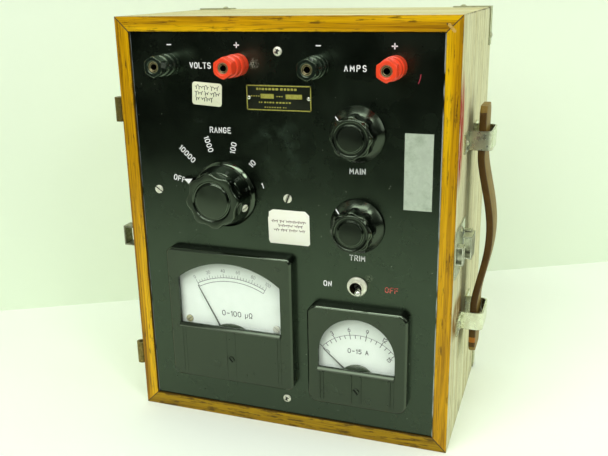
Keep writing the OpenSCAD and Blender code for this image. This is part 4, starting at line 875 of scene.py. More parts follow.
OVAL = arc(2, 4, 2, 2, 0, 180) + arc(2, 2, 2, 2, 180, 360) + [(4, 4)]
BOWL = [(0, 0), (0, 6), (2.4, 6)] + arc(2.4, 4.5, 1.6, 1.5, 90, -90) + [(0, 3)]
SIX = [arc(2, 1.9, 1.9, 1.9, 0, 360, 28), arc(4, 2.2, 3.9, 3.8, 180, 110)]
GLYPHS: dict[str, list[Outline]] = {
    " ": [],
    "0": [OVAL],
    "1": [[(0.6, 4.9), (1.8, 6), (1.8, 0)]],
    "2": [arc(2, 4.1, 1.9, 1.9, 165, -35) + [(0, 0), (4, 0)]],
    "3": [arc(2, 4.5, 1.8, 1.5, 150, -90), arc(2, 1.6, 2, 1.6, 90, -150)],
    "4": [[(3, 0), (3, 6), (0, 2), (4, 2)]],
    "5": [[(3.7, 6), (0.6, 6), (0.3, 3.4)] + arc(1.9, 2, 2, 2, 130, -150)],
    "6": SIX,
    "8": [arc(2, 4.5, 1.6, 1.5, 0, 360, 28), arc(2, 1.6, 2, 1.6, 0, 360, 28)],
    "9": [[(4 - x, 6 - y) for x, y in path] for path in SIX],
    "A": [[(0, 0), (2, 6), (4, 0)], [(0.75, 2.1), (3.25, 2.1)]],
    "E": [[(3.8, 6), (0, 6), (0, 0), (3.8, 0)], [(0, 3.1), (3.2, 3.1)]],
    "F": [[(3.8, 6), (0, 6), (0, 0)], [(0, 3.1), (3.2, 3.1)]],
    "G": [arc(2, 4, 2, 2, 20, 180) + arc(2, 2, 2, 2, 180, 360) + [(4, 2.8), (2.4, 2.8)]],
    "I": [[(0, 0), (0, 6)]],
    "L": [[(0, 6), (0, 0), (3.6, 0)]],
    "M": [[(0, 0), (0, 6), (2.3, 1.8), (4.6, 6), (4.6, 0)]],
    "N": [[(0, 0), (0, 6), (4, 0), (4, 6)]],
    "O": [OVAL],
    "P": [BOWL],
    "R": [BOWL, [(2.2, 3), (4, 0)]],
    "S": [arc(2, 4.5, 1.9, 1.5, 30, 270) + arc(2, 1.5, 2, 1.5, 90, -150)[1:]],
    "T": [[(0, 6), (4, 6)], [(2, 6), (2, 0)]],
    "V": [[(0, 6), (2, 0), (4, 6)]],
    "+": [[(0.2, 3), (3.8, 3)], [(2, 1.2), (2, 4.8)]],
    "-": [[(0.4, 3), (3.6, 3)]],
    "µ": [[(0, -1.6), (0, 4)], [(0, 1.6)] + arc(1.6, 1.6, 1.6, 1.6, 180, 360) + [(3.2, 4)]],
    "Ω": [[(0, 0), (1.3, 0)] + arc(2, 3.5, 2, 2.5, 240, -60, 20) + [(2.7, 0), (4, 0)]],
}


@dataclass(frozen=True)
class Lettering:
    """Letters drawn with a round cutter or pen as single strokes of even width."""

    height: float
    stroke: float
    narrow: float = 0.78
    gap: float = 2.1

    def write(self, draft: Draft, text: str, x: float, y: float, turn: float = 0.0,
              base: float = 0.0) -> None:
        """Write a text about a point.

        Args:
            draft: Piece that takes the strokes.
            text: The letters.
            x: Middle of the text, across.
            y: Middle of the text, up.
            turn: Degrees that the text is turned anticlockwise.
            base: Height of the surface that it is written on.
        """
        unit = self.height / 6
        widths = [max((px for path in GLYPHS[c] for px, _ in path), default=2.0) for c in text]
        start = -(sum(widths) + self.gap * (len(text) - 1)) / 2
        cos, sin = math.cos(math.radians(turn)), math.sin(math.radians(turn))
        for letter, width in zip(text, widths):
            for path in GLYPHS[letter]:
                flat = [((start + px) * unit * self.narrow, (py - 3) * unit) for px, py in path]
                laid = [(x + px * cos - py * sin, y + px * sin + py * cos) for px, py in flat]
                draft.stroke(laid, self.stroke, base)
            start += width + self.gap


@dataclass(frozen=True)
class ScrewHead:
    """Domed screw head, plain or slotted across."""

    radius: float
    tall: float
    slot: float = 1.1
    deep: float = 0.9

    def slotted(self, draft: Draft, x: float, y: float, base: float, turn: float) -> None:
        """Add a head cut in two halves above the floor of its slot, which takes the finish of mark 1.

        Args:
            draft: Piece that takes the head.
            x: Middle of the head, across.
            y: Middle of the head, up.
            base: Height of the surface that it sits on.
            turn: Degrees that the slot is turned anticlockwise.
        """
        floor = base + max(self.tall - self.deep, 0.1)
        # The floor of the slot takes mark 1, which is painted shade in every use
        kept, draft.mark = draft.mark, 1
        draft.lathe([(self.radius, base - 0.1), (self.radius, floor)], 40, centre=(x, y))
        draft.mark = kept
        skew = math.degrees(math.asin(self.slot / 2 / self.radius))
        for half in (0, 180):
            edge = arc(0, 0, self.radius, self.radius, turn + half + skew, turn + half + 180 - skew, 24)
            draft.stack(rounded(edge, floor, base + self.tall, 0.0, 0.45 * self.deep, 3), centre=(x, y))

    def domed(self, draft: Draft, x: float, y: float, base: float) -> None:
        """Add a plain domed head."""
        crown = arc(0, base, self.radius, self.tall, 0, 84, 8)
        draft.lathe([(self.radius, base - 0.1)] + crown, 40, centre=(x, y))


@dataclass(frozen=True)
class Studio:
    """Pale floor and wall, soft lamps and the camera."""

    lens: float = 45.67
    sensor: float = 36.0
    yaw: float = 19.61
    pitch: float = 17.51
    roll: float = -1.106
    stand: Place = (237.4, -700.84, 404.7)
    wall_from: Point = (-450.0, 58.5)
    wall_to: Point = (290.0, 469.5)
    wall_past: float = 2000.0
    wall_tall: float = 2400.0
    wall_colour: str = "#F0FCE6"
    floor_front: float = -820.0
    floor_reach: float = 2600.0
    floor_colour: str = "#F8FFF2"
    # Each lamp's name, its place, aim and size in metres, and its power
    lamps: tuple[tuple[str, Place, Place, Point, float], ...] = (
        ("ceiling_softbox", (0.25, 0.07, 1.5), (0.1, 0.0, 0.15), (1.35, 0.3), 1.6),
        ("front_softbox", (-0.35, -1.45, 1.25), (0.0, -0.05, 0.18), (1.0, 1.0), 10.6),
        ("side_softbox", (1.5, 0.1, 0.9), (0.1, 0.0, 0.15), (1.0, 1.0), 7.0),
        ("ceiling_tube", (0.07, -0.7, 1.5), (0.07, -0.1, 0.2), (1.3, 0.25), 8.0),
        ("right_key", (0.85, -0.8, 1.2), (0.0, -0.08, 0.25), (0.3, 0.3), 2.6))

    def build(self) -> None:
        """Set up everything round the object."""
        bpy.context.scene.view_settings.view_transform = "Standard"
        self.camera()
        self.world()
        self.surfaces()
        for lamp in self.lamps:
            self.lamp(*lamp)

    def camera(self) -> None:
        """Stand the camera where the photograph was taken from."""
        yaw, pitch, roll = (math.radians(a) for a in (self.yaw, self.pitch, self.roll))
        level = Vector((-math.sin(yaw), math.cos(yaw), 0.0))
        ahead = math.cos(pitch) * level - Vector((0.0, 0.0, math.sin(pitch)))
        across = Vector((math.cos(yaw), math.sin(yaw), 0.0))
        upright = across.cross(ahead)
        right = math.cos(roll) * across + math.sin(roll) * upright
        up = math.cos(roll) * upright - math.sin(roll) * across
        data = bpy.data.cameras.new("camera")
        data.lens = self.lens
        data.sensor_width = self.sensor
        data.sensor_fit = "HORIZONTAL"
        data.clip_start = 0.01
        camera = bpy.data.objects.new("camera", data)
        axes = Matrix((right, up, -ahead)).transposed().to_4x4()
        camera.matrix_world = Matrix.Translation(Vector(self.stand) * MM) @ axes
        bpy.context.scene.collection.objects.link(camera)
        bpy.context.scene.camera = camera

    def world(self) -> None:
        """Pale room that is brighter behind the object and dim low in front of it."""
        world = bpy.data.worlds.new("pale_room")
        bpy.context.scene.world = world
        world.use_nodes = True
        paint = Palette(world.node_tree)
        way = paint.add("SeparateXYZ", {0: paint.add("TexCoord").outputs["Generated"]})
        bright = paint.maths(
            "MAXIMUM", paint.band(way.outputs[1], -0.1, 0.8), paint.band(way.outputs[2], 0.1, 0.7))
        tone = paint.ramp(bright, (0.0, "#2C302A"), (1.0, "#EDF5E8"))
        light = paint.add("Background", {"Color": tone, "Strength": 0.42})
        paint.add("OutputWorld", {"Surface": light})

    def surfaces(self) -> None:
        """Lay the floor and stand the wall behind the object."""
        front, reach = self.floor_front, self.floor_reach
        corners = [(-reach, front, 0), (reach, front, 0), (reach, reach, 0), (-reach, reach, 0)]
        floor = self.sheet("floor", corners, self.floor_colour)
        a, b = Vector(self.wall_from), Vector(self.wall_to)
        past = (b - a).normalized() * self.wall_past
        low, high, tall = a - past, b + past, self.wall_tall
        wall = self.sheet("wall", [(*low, 0), (*high, 0), (*high, tall), (*low, tall)], self.wall_colour)

    @staticmethod
    def sheet(name: str, corners: Sequence[Sequence[float]], colour: str) -> bpy.types.Object:
        """A flat sheet in matt paint.

        Args:
            name: Name of the sheet.
            corners: Its corners in millimetres.
            colour: Colour of its paint.

        Returns:
            The new object.
        """
        mesh = bpy.data.meshes.new(name)
        mesh.from_pydata([Vector(c) * MM for c in corners], [], [[0, 1, 2, 3]])
        mesh.materials.append(MattPaint(name + "_matt_paint", colour).material())
        piece = bpy.data.objects.new(name, mesh)
        bpy.context.scene.collection.objects.link(piece)
        return piece

    @staticmethod
    def lamp(name: str, stand: Place, aim: Place, size: Point, power: float) -> None:
        """Hang an oblong soft lamp at a place, turned to another, all in metres."""
        data = bpy.data.lights.new(name, "AREA")
        data.shape = "RECTANGLE"
        data.size, data.size_y = size
        data.energy = power
        lamp = bpy.data.objects.new(name, data)
        lamp.location = stand
        lamp.rotation_euler = (Vector(aim) - Vector(stand)).to_track_quat("-Z", "Y").to_euler()
        bpy.context.scene.collection.objects.link(lamp)


@dataclass(frozen=True)
class CaseMitres:
    """Mitre joints at the front of the oak case."""

    half_wide: float = 151.9
    tall: float = 381.0
    board: float = 12.9
    proud: float = 2.0
    tip: float = 0.6
    flush: float = 0.02
    gap: float = 0.7
    nail_hole: tuple[Point, Point] = ((139.6, 374.3), (141.4, 373.7))
    nail_wide: float = 1.1
    filler: tuple[Point, Point] = ((141.4, 373.6), (145.6, 369.0))
    filler_wide: float = 2.4

    def build(self) -> None:
        """Draw the open joints, with filler across one of them beside a nail hole."""
        draft = Draft()
        inner = self.half_wide - self.board
        for side in (-1, 1):
            for outer, step in ((self.tip, 1), (self.tall - self.tip, -1)):
                joint = [(side * inner, outer + step * self.board), (side * self.half_wide, outer)]
                draft.stroke(joint, self.gap, rise=self.flush)
        # The nail hole is a dark stroke of painted shade
        draft.stroke(self.nail_hole, self.nail_wide, rise=self.flush)
        draft.mark = 1
        draft.stroke(self.filler, self.filler_wide, rise=2 * self.flush)
        draft.place("mitre_marks", on_panel(0, 0, self.proud), [SLOT_SHADOW, WOOD_FILLER], "oak")


@dataclass(frozen=True)
class CarryStrap:
    """Leather carrying strap bowed between its two loops."""

    inner_x: float = 161.4
    front_y: float = -43.5
    width: float = 36.0
    thick: float = 6.0
    bow: float = 10.5
    bow_low: float = 124.25
    bow_high: float = 261.75
    low: float = 78.0
    high: float = 304.5
    tip_long: float = 9.0
    tip_in: float = 5.0
    corner: float = 1.7
    burnish: float = 1.5
    raw_long: float = 7.0
    steps: int = 90

    def lift(self, z: float) -> float:
        """How far the strap stands off at a height."""
        share = (z - self.bow_low) / (self.bow_high - self.bow_low)
        return self.bow * math.sin(math.pi * share) ** 1.5 if 0 < share < 1 else 0.0

    def build(self) -> None:
        """Build the strap with burnished edges and rounded ends."""
        draft = Draft()
        loops = []
        middle = self.front_y + self.width / 2
        for i in range(self.steps + 1):
            z = self.low + (self.high - self.low) * i / self.steps
            pull = max(0.0, 1 - min(z - self.low, self.high - z) / self.tip_long)
            half = self.width / 2 - self.tip_in * pull ** 2.2
            x = self.inner_x + self.thick / 2 + self.lift(z)
            section = oblong(self.thick - 0.02, 2 * half, self.corner, 4)
            loops.append(draft.loop([Vector((x + px, middle + py, z)) for px, py in section]))
        draft.skin(loops)
        edge = self.width / 2 - self.burnish
        raw_low = self.low + self.tip_long
        raw_high = raw_low + self.raw_long
        draft.paint(1, lambda at: abs(at.y - middle) > edge)
        draft.paint(2, lambda at: raw_low < at.z < raw_high and at.y < middle - edge)
        draft.place("carry_strap", Matrix.Identity(4), [STRAP_FACE, STRAP_EDGE, STRAP_RAW], "leather",
                    "strap", ["handle_strap"])


@dataclass(frozen=True)
class PaperLabel:
    """Paper label with lines of script that can't be read."""

    name: str
    outline: Outline
    paper: Finish
    ink: Finish
    at: Point
    turn: float
    pen: float
    tall: float
    close: float
    # Each line's left end, lengths of words and height
    rows: tuple[tuple[float, tuple[float, ...], float], ...]
    thick: float = 0.18
    space: float = 1.6
    points: int = 16

    def build(self) -> None:
        """Stick the label on the panel and write its lines."""
        place = on_panel(*self.at, turn=self.turn)
        paper = Draft()
        paper.stack(rounded(self.outline, 0.0, self.thick, 0.0, 0.08, 2))
        paper.place(self.name, place, [self.paper], "panel_black")
        script = Draft()
        for start, words, y in self.rows:
            self.scribble(script, start, words, y)
        script.place(self.name + "_script", place, [self.ink], "panel_black")

    def scribble(self, draft: Draft, start: float, words: Sequence[float], y: float) -> None:
        """Draw a line of loops that rise and fall as script does.

        Args:
            draft: Piece that takes the strokes.
            start: Left end of the line.
            words: Lengths of the words.
            y: Middle of the line.
        """
        for n, length in enumerate(words):
            count = self.points * max(2, round(length * self.close))
            path = []
            for i in range(count + 1):
                a = math.tau * i / self.points
                # The loops lean to the right, and the lowest are a quarter as tall as the tallest
                rise = self.tall * (0.62 + 0.38 * math.sin(0.37 * a + 1.7 * n + y))
                lean = 0.3 * self.tall * math.sin(a)
                path.append((start + length * i / count + lean, y + rise * math.cos(a)))
            draft.stroke(path, self.pen, self.thick, SCALE_RISE)
            start += length + self.space


PEN_LABEL = PaperLabel(
    "pen_label", oblong(28.4, 19.9, 2.6), LABEL_PAPER, PEN_INK, at=(-67.0, 315.3), turn=-3.6, pen=0.5,
    tall=2.1, close=0.42,
    rows=((-11.4, (13.0, 8.0), 5.4), (-11.6, (7.6, 4.0, 9.0), 0.2), (-11.0, (4.0, 11.0), -4.6)))
TORN_LABEL = [
    (19.3, 12.0), (15.6, 15.6), (-14.6, 15.9), (-18.6, 13.6), (-18.9, 9.0), (-19.6, 8.4), (-19.4, -13.0),
    (-18.0, -15.6), (17.8, -15.9), (19.4, -14.4)]
STAMPED_LABEL = PaperLabel(
    "stamped_label", TORN_LABEL, FRESH_PAPER, BROWN_INK, at=(6.2, 199.8), turn=0.4, pen=0.45, tall=1.2,
    close=0.62,
    rows=((-16.2, (6.0, 4.4, 18.6), 5.2), (-10.0, (13.6, 7.6), 1.3), (-14.4, (5.2, 6.0, 8.0, 5.4), -2.8)))


@dataclass(frozen=True)
class Nameplate:
    """Etched plate with a raised border, two fields and rows of dashes, held by two rivets."""

    margin: float = 1.6
    raised: float = 0.06
    fields: tuple[Point, ...] = ((-10.2, 12.0), (13.8, 14.6))
    field_tall: float = 3.9
    field_y: float = 1.4
    # Height of the middle, height of the dashes, left end, and lengths of the dashes; 0 is a space
    rows: tuple[tuple[float, float, float, tuple[float, ...]], ...] = (
        (7.4, 1.9, -20.0, (2.0, 1.2, 2.4, 2.2, 2.4, 2.4, 2.6, 0.0, 2.6, 2.2, 2.2, 2.2, 2.4)),
        (1.4, 1.0, -25.2, (1.4, 1.6, 1.4, 1.2)), (1.4, 1.0, -1.8, (1.2, 1.6, 1.2)),
        (-3.8, 1.3, -18.0, (1.0, 1.4, 0.0, 2.0, 1.2, 2.0, 1.6, 0.0, 2.2, 2.0, 2.2, 1.8, 2.0)),
        (-7.9, 1.0, -13.0, (1.6, 1.0, 1.6, 1.6, 1.4, 1.6, 1.6, 0.0, 1.4, 1.0)))
    gap: float = 0.8
    rivets: tuple[float, ...] = (-27.0, 27.0)
    rivet: ScrewHead = ScrewHead(1.7, 0.8)

    def build(self) -> None:
        """Raise the brass border, fields and dashes of the plate, and set its rivets."""
        low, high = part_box("nameplate")
        middle = on_panel((low.x + high.x) / 2 / MM, (low.z + high.z) / 2 / MM)
        wide, tall = (high.x - low.x) / MM, (high.z - low.z) / MM
        top = (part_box("front_panel")[0][1] - low.y) / MM
        brass = Draft()
        edge = oblong(wide - self.margin, tall - self.margin, 0.6, 2)
        brass.stroke(edge + edge[:1], 0.9, top, self.raised)
        for x, length in self.fields:
            field_outline = oblong(length, self.field_tall, 0.2, 1)
            brass.slab(field_outline, top - SINK, top + self.raised, (x, self.field_y))
        for y, height, start, dashes in self.rows:
            for length in dashes:
                if length:
                    dash = oblong(length, height, 0.3, 1)
                    brass.slab(dash, top - SINK, top + LETTER_RISE, (start + length / 2, y))
                start += length + self.gap
        brass.place("nameplate_brass", middle, [PLATE_BRASS], "plate_black")
        rivets = Draft()
        for x in self.rivets:
            self.rivet.domed(rivets, x, 0.0, top)
        rivets.place("nameplate_rivets", middle, [BRIGHT_NICKEL], "nickel")


@dataclass(frozen=True)
class FrontPanel:
    """Engraving, labels, nameplate and screws of the black panel."""

    signs: tuple[tuple[str, float], ...] = (("-", -101.3), ("+", -37.2), ("-", 35.4), ("+", 98.9))
    signs_z: float = 357.2
    range_at: Point = (-54.0, 226.5)
    legends: tuple[tuple[str, float, float], ...] = (
        ("OFF", 165.9, 46.8), ("10000", 136.0, 50.2), ("1000", 107.5, 47.0), ("100", 77.2, 43.2),
        ("10", 47.0, 39.7), ("1", 15.2, 37.4))
    words: tuple[tuple[str, float, float], ...] = (
        ("VOLTS", -72.0, 339.8), ("RANGE", -56.0, 284.2), ("MAIN", 68.9, 254.6), ("TRIM", 68.9, 177.3),
        ("ON", 41.6, 150.8))
    amps_at: Point = (66.8, 339.5)
    off_at: Point = (99.6, 150.6)
    screws: tuple[tuple[float, float, float], ...] = ((-121.0, 226.5, -35.0), (6.0, 226.5, 68.0))
    cross_screws: tuple[Point, ...] = ((0.0, 28.6), (0.0, 352.4))
    head: ScrewHead = ScrewHead(3.9, 1.8, 1.3, 1.3)
    shank: tuple[Point, ...] = ((1.5, -15.0), (2.0, -14.2), (2.0, 0.2))
    recess: float = 1.9
    recess_wide: float = 0.9
    recess_floor: float = 1.22
    recess_rise: float = 0.62
    recess_turns: tuple[float, ...] = (20.0, 65.0, 110.0)
    pencil: tuple[Point, ...] = ((120.3, 335.5), (119.9, 333.0), (119.3, 330.6), (118.4, 328.6))
    pencil_wide: float = 0.7
    hand: Lettering = Lettering(4.6, 0.82, 0.86, 2.5)
    spaced_hand: Lettering = Lettering(4.6, 0.82, 0.86, 3.7)
    sign_hand: Lettering = Lettering(6.6, 1.0, 1.05)

    def build(self) -> None:
        """Add what is written, stuck, screwed and riveted on the panel."""
        self.engrave()
        self.fasten()
        for piece in (PEN_LABEL, STAMPED_LABEL, Nameplate()):
            piece.build()

    def engrave(self) -> None:
        """Engrave the legends, fill them with white or red paint, and leave a stroke of red pencil."""
        white, red, pen = Draft(), Draft(), Draft()
        for text, x, z in self.words:
            self.hand.write(white, text, x, z)
        self.spaced_hand.write(white, "AMPS", *self.amps_at)
        for sign, x in self.signs:
            self.sign_hand.write(white, sign, x, self.signs_z)
        cx, cz = self.range_at
        for text, angle, radius in self.legends:
            a = math.radians(angle)
            turn = angle - 180 if angle > 90 else angle
            self.hand.write(white, text, cx + radius * math.cos(a), cz + radius * math.sin(a), turn)
        self.hand.write(red, "OFF", *self.off_at)
        pen.stroke(self.pencil, self.pencil_wide)
        for name, draft, finish in (("panel_engraving", white, WHITE_FILL), ("off_engraving", red, RED_FILL),
                                    ("pencil_mark", pen, PEN_RED)):
            draft.place(name, on_panel(0, 0), [finish], "panel_black")

    def fasten(self) -> None:
        """Set the four panel screws, two slotted and two with a cross recess."""
        draft = Draft()
        for x, z, turn in self.screws:
            self.head.slotted(draft, x, z, 0.0, turn)
        for x, z in self.cross_screws:
            self.head.domed(draft, x, z, 0.0)
        for x, z in [at[:2] for at in self.screws] + list(self.cross_screws):
            draft.lathe(self.shank, 24, centre=(x, z))
        # The cross recesses are dark strokes of painted shade on the domed heads
        draft.mark = 1
        for x, z in self.cross_screws:
            for a in map(math.radians, self.recess_turns):
                dx, dz = self.recess * math.cos(a), self.recess * math.sin(a)
                draft.stroke([(x - dx, z - dz), (x + dx, z + dz)], self.recess_wide, self.recess_floor,
                             self.recess_rise)
        draft.place("panel_screw_heads", on_panel(0, 0), [SCREW_NICKEL, SLOT_SHADOW], "nickel", CASE,
                    ["panel_screws"])


# Each terminal's name, place across the panel, finish and slot
POSTS = (
    ("voltage_minus", -100.0, BLACK_POST, "post_black"), ("voltage_plus", -36.0, RED_PLASTIC, "post_red"),
    ("current_minus", 36.0, BLACK_POST, "post_black"), ("current_plus", 100.0, RED_PLASTIC, "post_red"))
POST_Z = 341.0


@dataclass(frozen=True)
class BindingPost:
    """Screw-down terminal with a hexagonal insulated cap."""

    name: str
    x: float
    finish: Finish
    slot: str
    z: float = POST_Z
    foot: float = 5.3
    bore: float = 4.56
    nut_corner: float = 9.2
    lip_bore: float = 3.9
    lip_slack: float = 0.06
    lip_back: float = 29.6
    lip_front: float = 31.4

    def build(self) -> None:
        """Build the cap with its grooves, and the lip of the metal inside it."""
        turned = [
            (self.bore, 0.0), (8.9, 0.0), (9.35, 0.25), (9.5, 0.7), (9.5, 6.2), (9.3, 6.75), (8.9, 6.95),
            (7.9, 7.1), (7.8, 7.3), (7.8, 8.4), (7.9, 8.6), (8.6, 8.75), (9.0, 9.0), (9.1, 9.4), (9.1, 15.0),
            (8.95, 15.5), (8.5, 15.7), (7.9, 15.85), (7.8, 16.1), (7.8, 17.2)]
        flats = [(8.1, 17.5), (8.7, 17.75), (9.2, 18.5), (9.2, 25.4), (8.9, 26.3), (8.3, 26.85), (7.6, 27.0)]
        mouth = [(5.7, 27.0), (5.3, 26.9), (5.0, 26.6), (4.8, 26.2), (self.bore, 25.6)]
        cap = Draft()
        levels = [(ring(r, 72), z) for r, z in turned] + [(hexagon(self.nut_corner, r), z) for r, z in flats]
        cap.stack(levels + [(ring(r, 72), z) for r, z in mouth], round_trip=True)
        cap.place(self.name + "_hex_cap", on_panel(self.x, self.z, self.foot), [self.finish], self.slot,
                  self.name + "_grip", [self.name + "_cap"])
        lip = Draft()
        outer, front = self.bore - self.lip_slack, self.lip_front
        lip.lathe([
            (self.lip_bore, self.lip_back), (outer, self.lip_back), (outer, front - 0.2),
            (self.bore - 0.3, front), (self.lip_bore + 0.1, front), (self.lip_bore, front - 0.1)],
            48, round_trip=True)
        lip.place(self.name + "_insert_lip", on_panel(self.x, self.z), [LIP_BRASS], "post_metal",
                  self.name + "_nut")


@dataclass(frozen=True)
class PostStuds:
    """Threaded studs of the terminals, each bored for a plug."""

    radius: float = 3.2
    bore: float = 2.75
    front: float = 30.8
    tail: float = -17.2
    deep: float = 22.0

    def build(self) -> None:
        """Turn the studs, with a bright lip round each dark bore."""
        draft = Draft()
        profile = [
            (self.radius - 0.6, self.tail), (self.radius, self.tail + 0.6), (self.radius, self.front - 0.3),
            (self.radius - 0.2, self.front), (self.bore + 0.2, self.front), (self.bore, self.front - 0.2),
            (self.bore, self.front - self.deep)]
        for _, x, _, _ in POSTS:
            draft.lathe(profile, 40, centre=(x, POST_Z))
        draft.paint(1, lambda at: at.z > self.front - 0.25)
        draft.place("plug_studs", on_panel(0, 0), [DARK_BRASS, LIP_BRASS], "post_metal", CASE, ["post_studs"])


def dished(rims: Sequence[tuple[float, Sequence[Point]]], top: float) -> list[Level]:
    """Rings of a knob's turned face.

    Args:
        rims: Each rim's radius, with its steps outward from that radius and down from the top.
        top: Height of the face.

    Returns:
        The rings with their heights, from the outside in.
    """
    return [(ring(radius + out, 144), top - down) for radius, steps in rims for out, down in steps]


@dataclass(frozen=True)
class RangeControl:
    """Large tapered knob with a lobed front, a round recess and a pointer tip."""

    at: Point = (-54.0, 226.5)
    foot: float = 30.0
    neck: float = 23.8
    neck_flare: float = 0.8
    neck_out: float = 20.0
    grip: float = 25.0
    flute: float = 2.4
    tall: float = 29.0
    waist: float = 26.5
    waist_out: float = 7.0
    lobes: int = 8
    disc: float = 18.5
    disc_steps: tuple[Point, ...] = (
        (0.5, 0.0), (0.05, 0.12), (-0.3, 0.5), (-0.55, 1.0), (-1.0, 1.3), (-1.7, 1.4))
    core: float = 15.4
    core_steps: tuple[Point, ...] = ((0.9, 1.35), (0.45, 1.1), (0.2, 0.6), (-0.15, 0.25), (-0.7, 0.1))
    spur_in: float = 24.0
    spur_root: float = 27.6
    spur_half: float = 8.0
    spur_low: float = 0.8
    spur_high: float = 3.05
    arrow: tuple[Point, ...] = ((33.2, -3.0), (41.2, 0.0), (35.4, 2.7))
    tip: float = 42.0
    tip_deg: float = 17.0
    screw_deg: float = 17.0
    screw_tilt: float = 22.0
    screw_shank: tuple[Point, ...] = ((2.2, -9.0), (2.6, -8.6), (2.6, 0.0))
    screw_head: ScrewHead = ScrewHead(3.4, 1.9, 1.0, 0.9)
    screw_sunk: float = 0.6
    slot_deg: float = 30.0

    def build(self) -> None:
        """Build the knob and the white mark on its tip."""
        body = "range_control"
        draft = Draft()
        draft.lathe([
            (self.foot - 1.0, 0.8), (self.foot - 0.3, 1.0), (self.foot, 1.5), (self.foot, 2.6),
            (self.foot - 0.2, 3.0), (self.foot - 2.0, 4.2), (self.foot - 3.0, 5.4),
            (self.waist, self.waist_out), (self.neck + self.neck_flare, self.neck_out - 0.5),
            (self.neck + 0.4, self.neck_out - 0.1), (self.neck - 0.4, self.neck_out)], 96)
        grip = scalloped(self.grip, self.flute, self.lobes, -self.screw_deg)
        levels = rounded(grip, self.neck_out - 1.6, self.tall, 0.9, 1.5, 5)
        rims = ((self.disc, self.disc_steps), (self.core, self.core_steps))
        draft.stack(levels + dished(rims, self.tall))
        draft.paint(1, lambda at: at.z > self.tall - 0.12)
        a = math.radians(180 - self.tip_deg)
        inner, root, half, blunt = self.spur_in, self.spur_root, self.spur_half, self.tip - 0.6
        spur = [(inner, -half - 0.6), (root, -half), (blunt, -0.9), (self.tip, 0), (blunt, 0.9), (root, half),
                (inner, half + 0.6)]
        draft.stack(rounded(self.turned(spur, a), self.spur_low, self.spur_high, 0.2, 0.4, 2))
        draft.place("range_grip", on_panel(*self.at), [BLACK_PHENOLIC, RUBBED_PHENOLIC], "knob_black", body,
                    ["range_knob"])
        mark = Draft()
        mark.slab(self.turned(self.arrow, a), self.spur_high - 0.05, self.spur_high + 0.05)
        mark.place("range_arrow", on_panel(*self.at), [WHITE_FILL], "knob_black", body)
        self.set_screw(body)

    def set_screw(self, body: str) -> None:
        """Set the slotted screw that clamps the knob on its shaft."""
        low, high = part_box("range_set_screw")
        out = (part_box("front_panel")[0][1] - (low.y + high.y) / 2) / MM
        share = (out - self.waist_out) / (self.neck_out - self.waist_out)
        reach = self.waist + share * (self.neck + self.neck_flare - self.waist)
        aim = on_panel(*self.at, out, -self.screw_deg) @ Matrix.Translation((reach * MM, 0.0, 0.0))
        aim = aim @ Matrix.Rotation(math.radians(90 - self.screw_tilt), 4, "Y")
        draft = Draft()
        draft.lathe(self.screw_shank, 32)
        self.screw_head.slotted(draft, 0.0, 0.0, -self.screw_sunk, self.slot_deg)
        draft.place("range_set_screw_head", aim, [SCREW_NICKEL, SLOT_SHADOW], "nickel", body,
                    ["range_set_screw"])

    @staticmethod
    def turned(outline: Sequence[Point], angle: float) -> Outline:
        """An outline turned about the origin by an angle in radians."""
        c, s = math.cos(angle), math.sin(angle)
        return [(x * c - y * s, x * s + y * c) for x, y in outline]


@dataclass(frozen=True)
class SkirtedKnob:
    """Rheostat knob with a tapered skirt and a lobed grip."""

    name: str
    z: float
    x: float = 69.0
    skirt: float = 24.0
    rim: float = 2.4
    skirt_top: float = 7.4
    grip: float = 18.2
    flute: float = 1.6
    lobe_top: float = 21.2
    tall: float = 24.0
    lobes: int = 8
    grip_low: float = 4.0
    face: float = 15.2
    face_steps: tuple[Point, ...] = (
        (0.9, 0.5), (0.5, 0.12), (0.1, 0.0), (-0.3, 0.12), (-0.6, 0.5), (-0.85, 1.0), (-1.4, 1.3))
    disc: float = 10.9
    disc_steps: tuple[Point, ...] = ((0.9, 1.3), (0.4, 1.1), (0.1, 0.6), (-0.2, 0.25), (-0.8, 0.1))
    dish: float = 1.3
    index_deg: float = 142.0
    index_half: float = 0.55
    index_short: float = 0.6
    index_steps: int = 6

    def slope(self, r: float) -> float:
        """Height of the skirt at a radius."""
        foot = self.grip - self.flute / 2
        return self.rim + (self.skirt - r) / (self.skirt - foot) * (self.skirt_top - self.rim)

    def build(self) -> None:
        """Build the knob and its index line."""
        body = self.name + "_control"
        draft = Draft()
        foot = self.grip - self.flute / 2
        draft.mark = 1
        edge = self.skirt - 0.35
        draft.lathe([
            (self.skirt - 0.9, 0.8), (self.skirt - 0.2, 1.0), (self.skirt, 1.4), (self.skirt, 1.9),
            (edge, self.slope(edge)), (foot, self.skirt_top), (foot - 1, self.skirt_top)], 96)
        draft.mark = 0
        grip = scalloped(self.grip, self.flute, self.lobes, 180 / self.lobes)
        levels = rounded(grip, self.grip_low, self.lobe_top, 0.0, 0.9, 4)
        rims = ((self.face, self.face_steps), (self.disc, self.disc_steps))
        draft.stack(levels + dished(rims, self.tall))
        floor = self.tall - self.dish
        draft.paint(2, lambda at: at.z > self.tall - 0.13 or abs(at.z - floor) < 0.02)
        draft.place(self.name + "_grip", on_panel(self.x, self.z),
                    [BLACK_PHENOLIC, COVER_PHENOLIC, KNOB_FACE], "knob_black", body, [self.name + "_knob"])
        self.index(body)

    def index(self, body: str) -> None:
        """Lay the white index line on the slope of the skirt."""
        draft = Draft()
        loops = []
        start, stop = self.skirt - self.index_short, self.grip + self.index_short
        for i in range(self.index_steps + 1):
            r = start + (stop - start) * i / self.index_steps
            left, right = (math.radians(self.index_deg) + side * self.index_half / r for side in (-1, 1))
            corners = [(left, -0.2), (right, -0.2), (right, 0.06), (left, 0.06)]
            loops.append(draft.loop([
                Vector((r * math.cos(a), r * math.sin(a), self.slope(r) + up)) for a, up in corners]))
        draft.skin(loops)
        draft.place(self.name + "_index", on_panel(self.x, self.z), [WHITE_FILL], "knob_black", body)


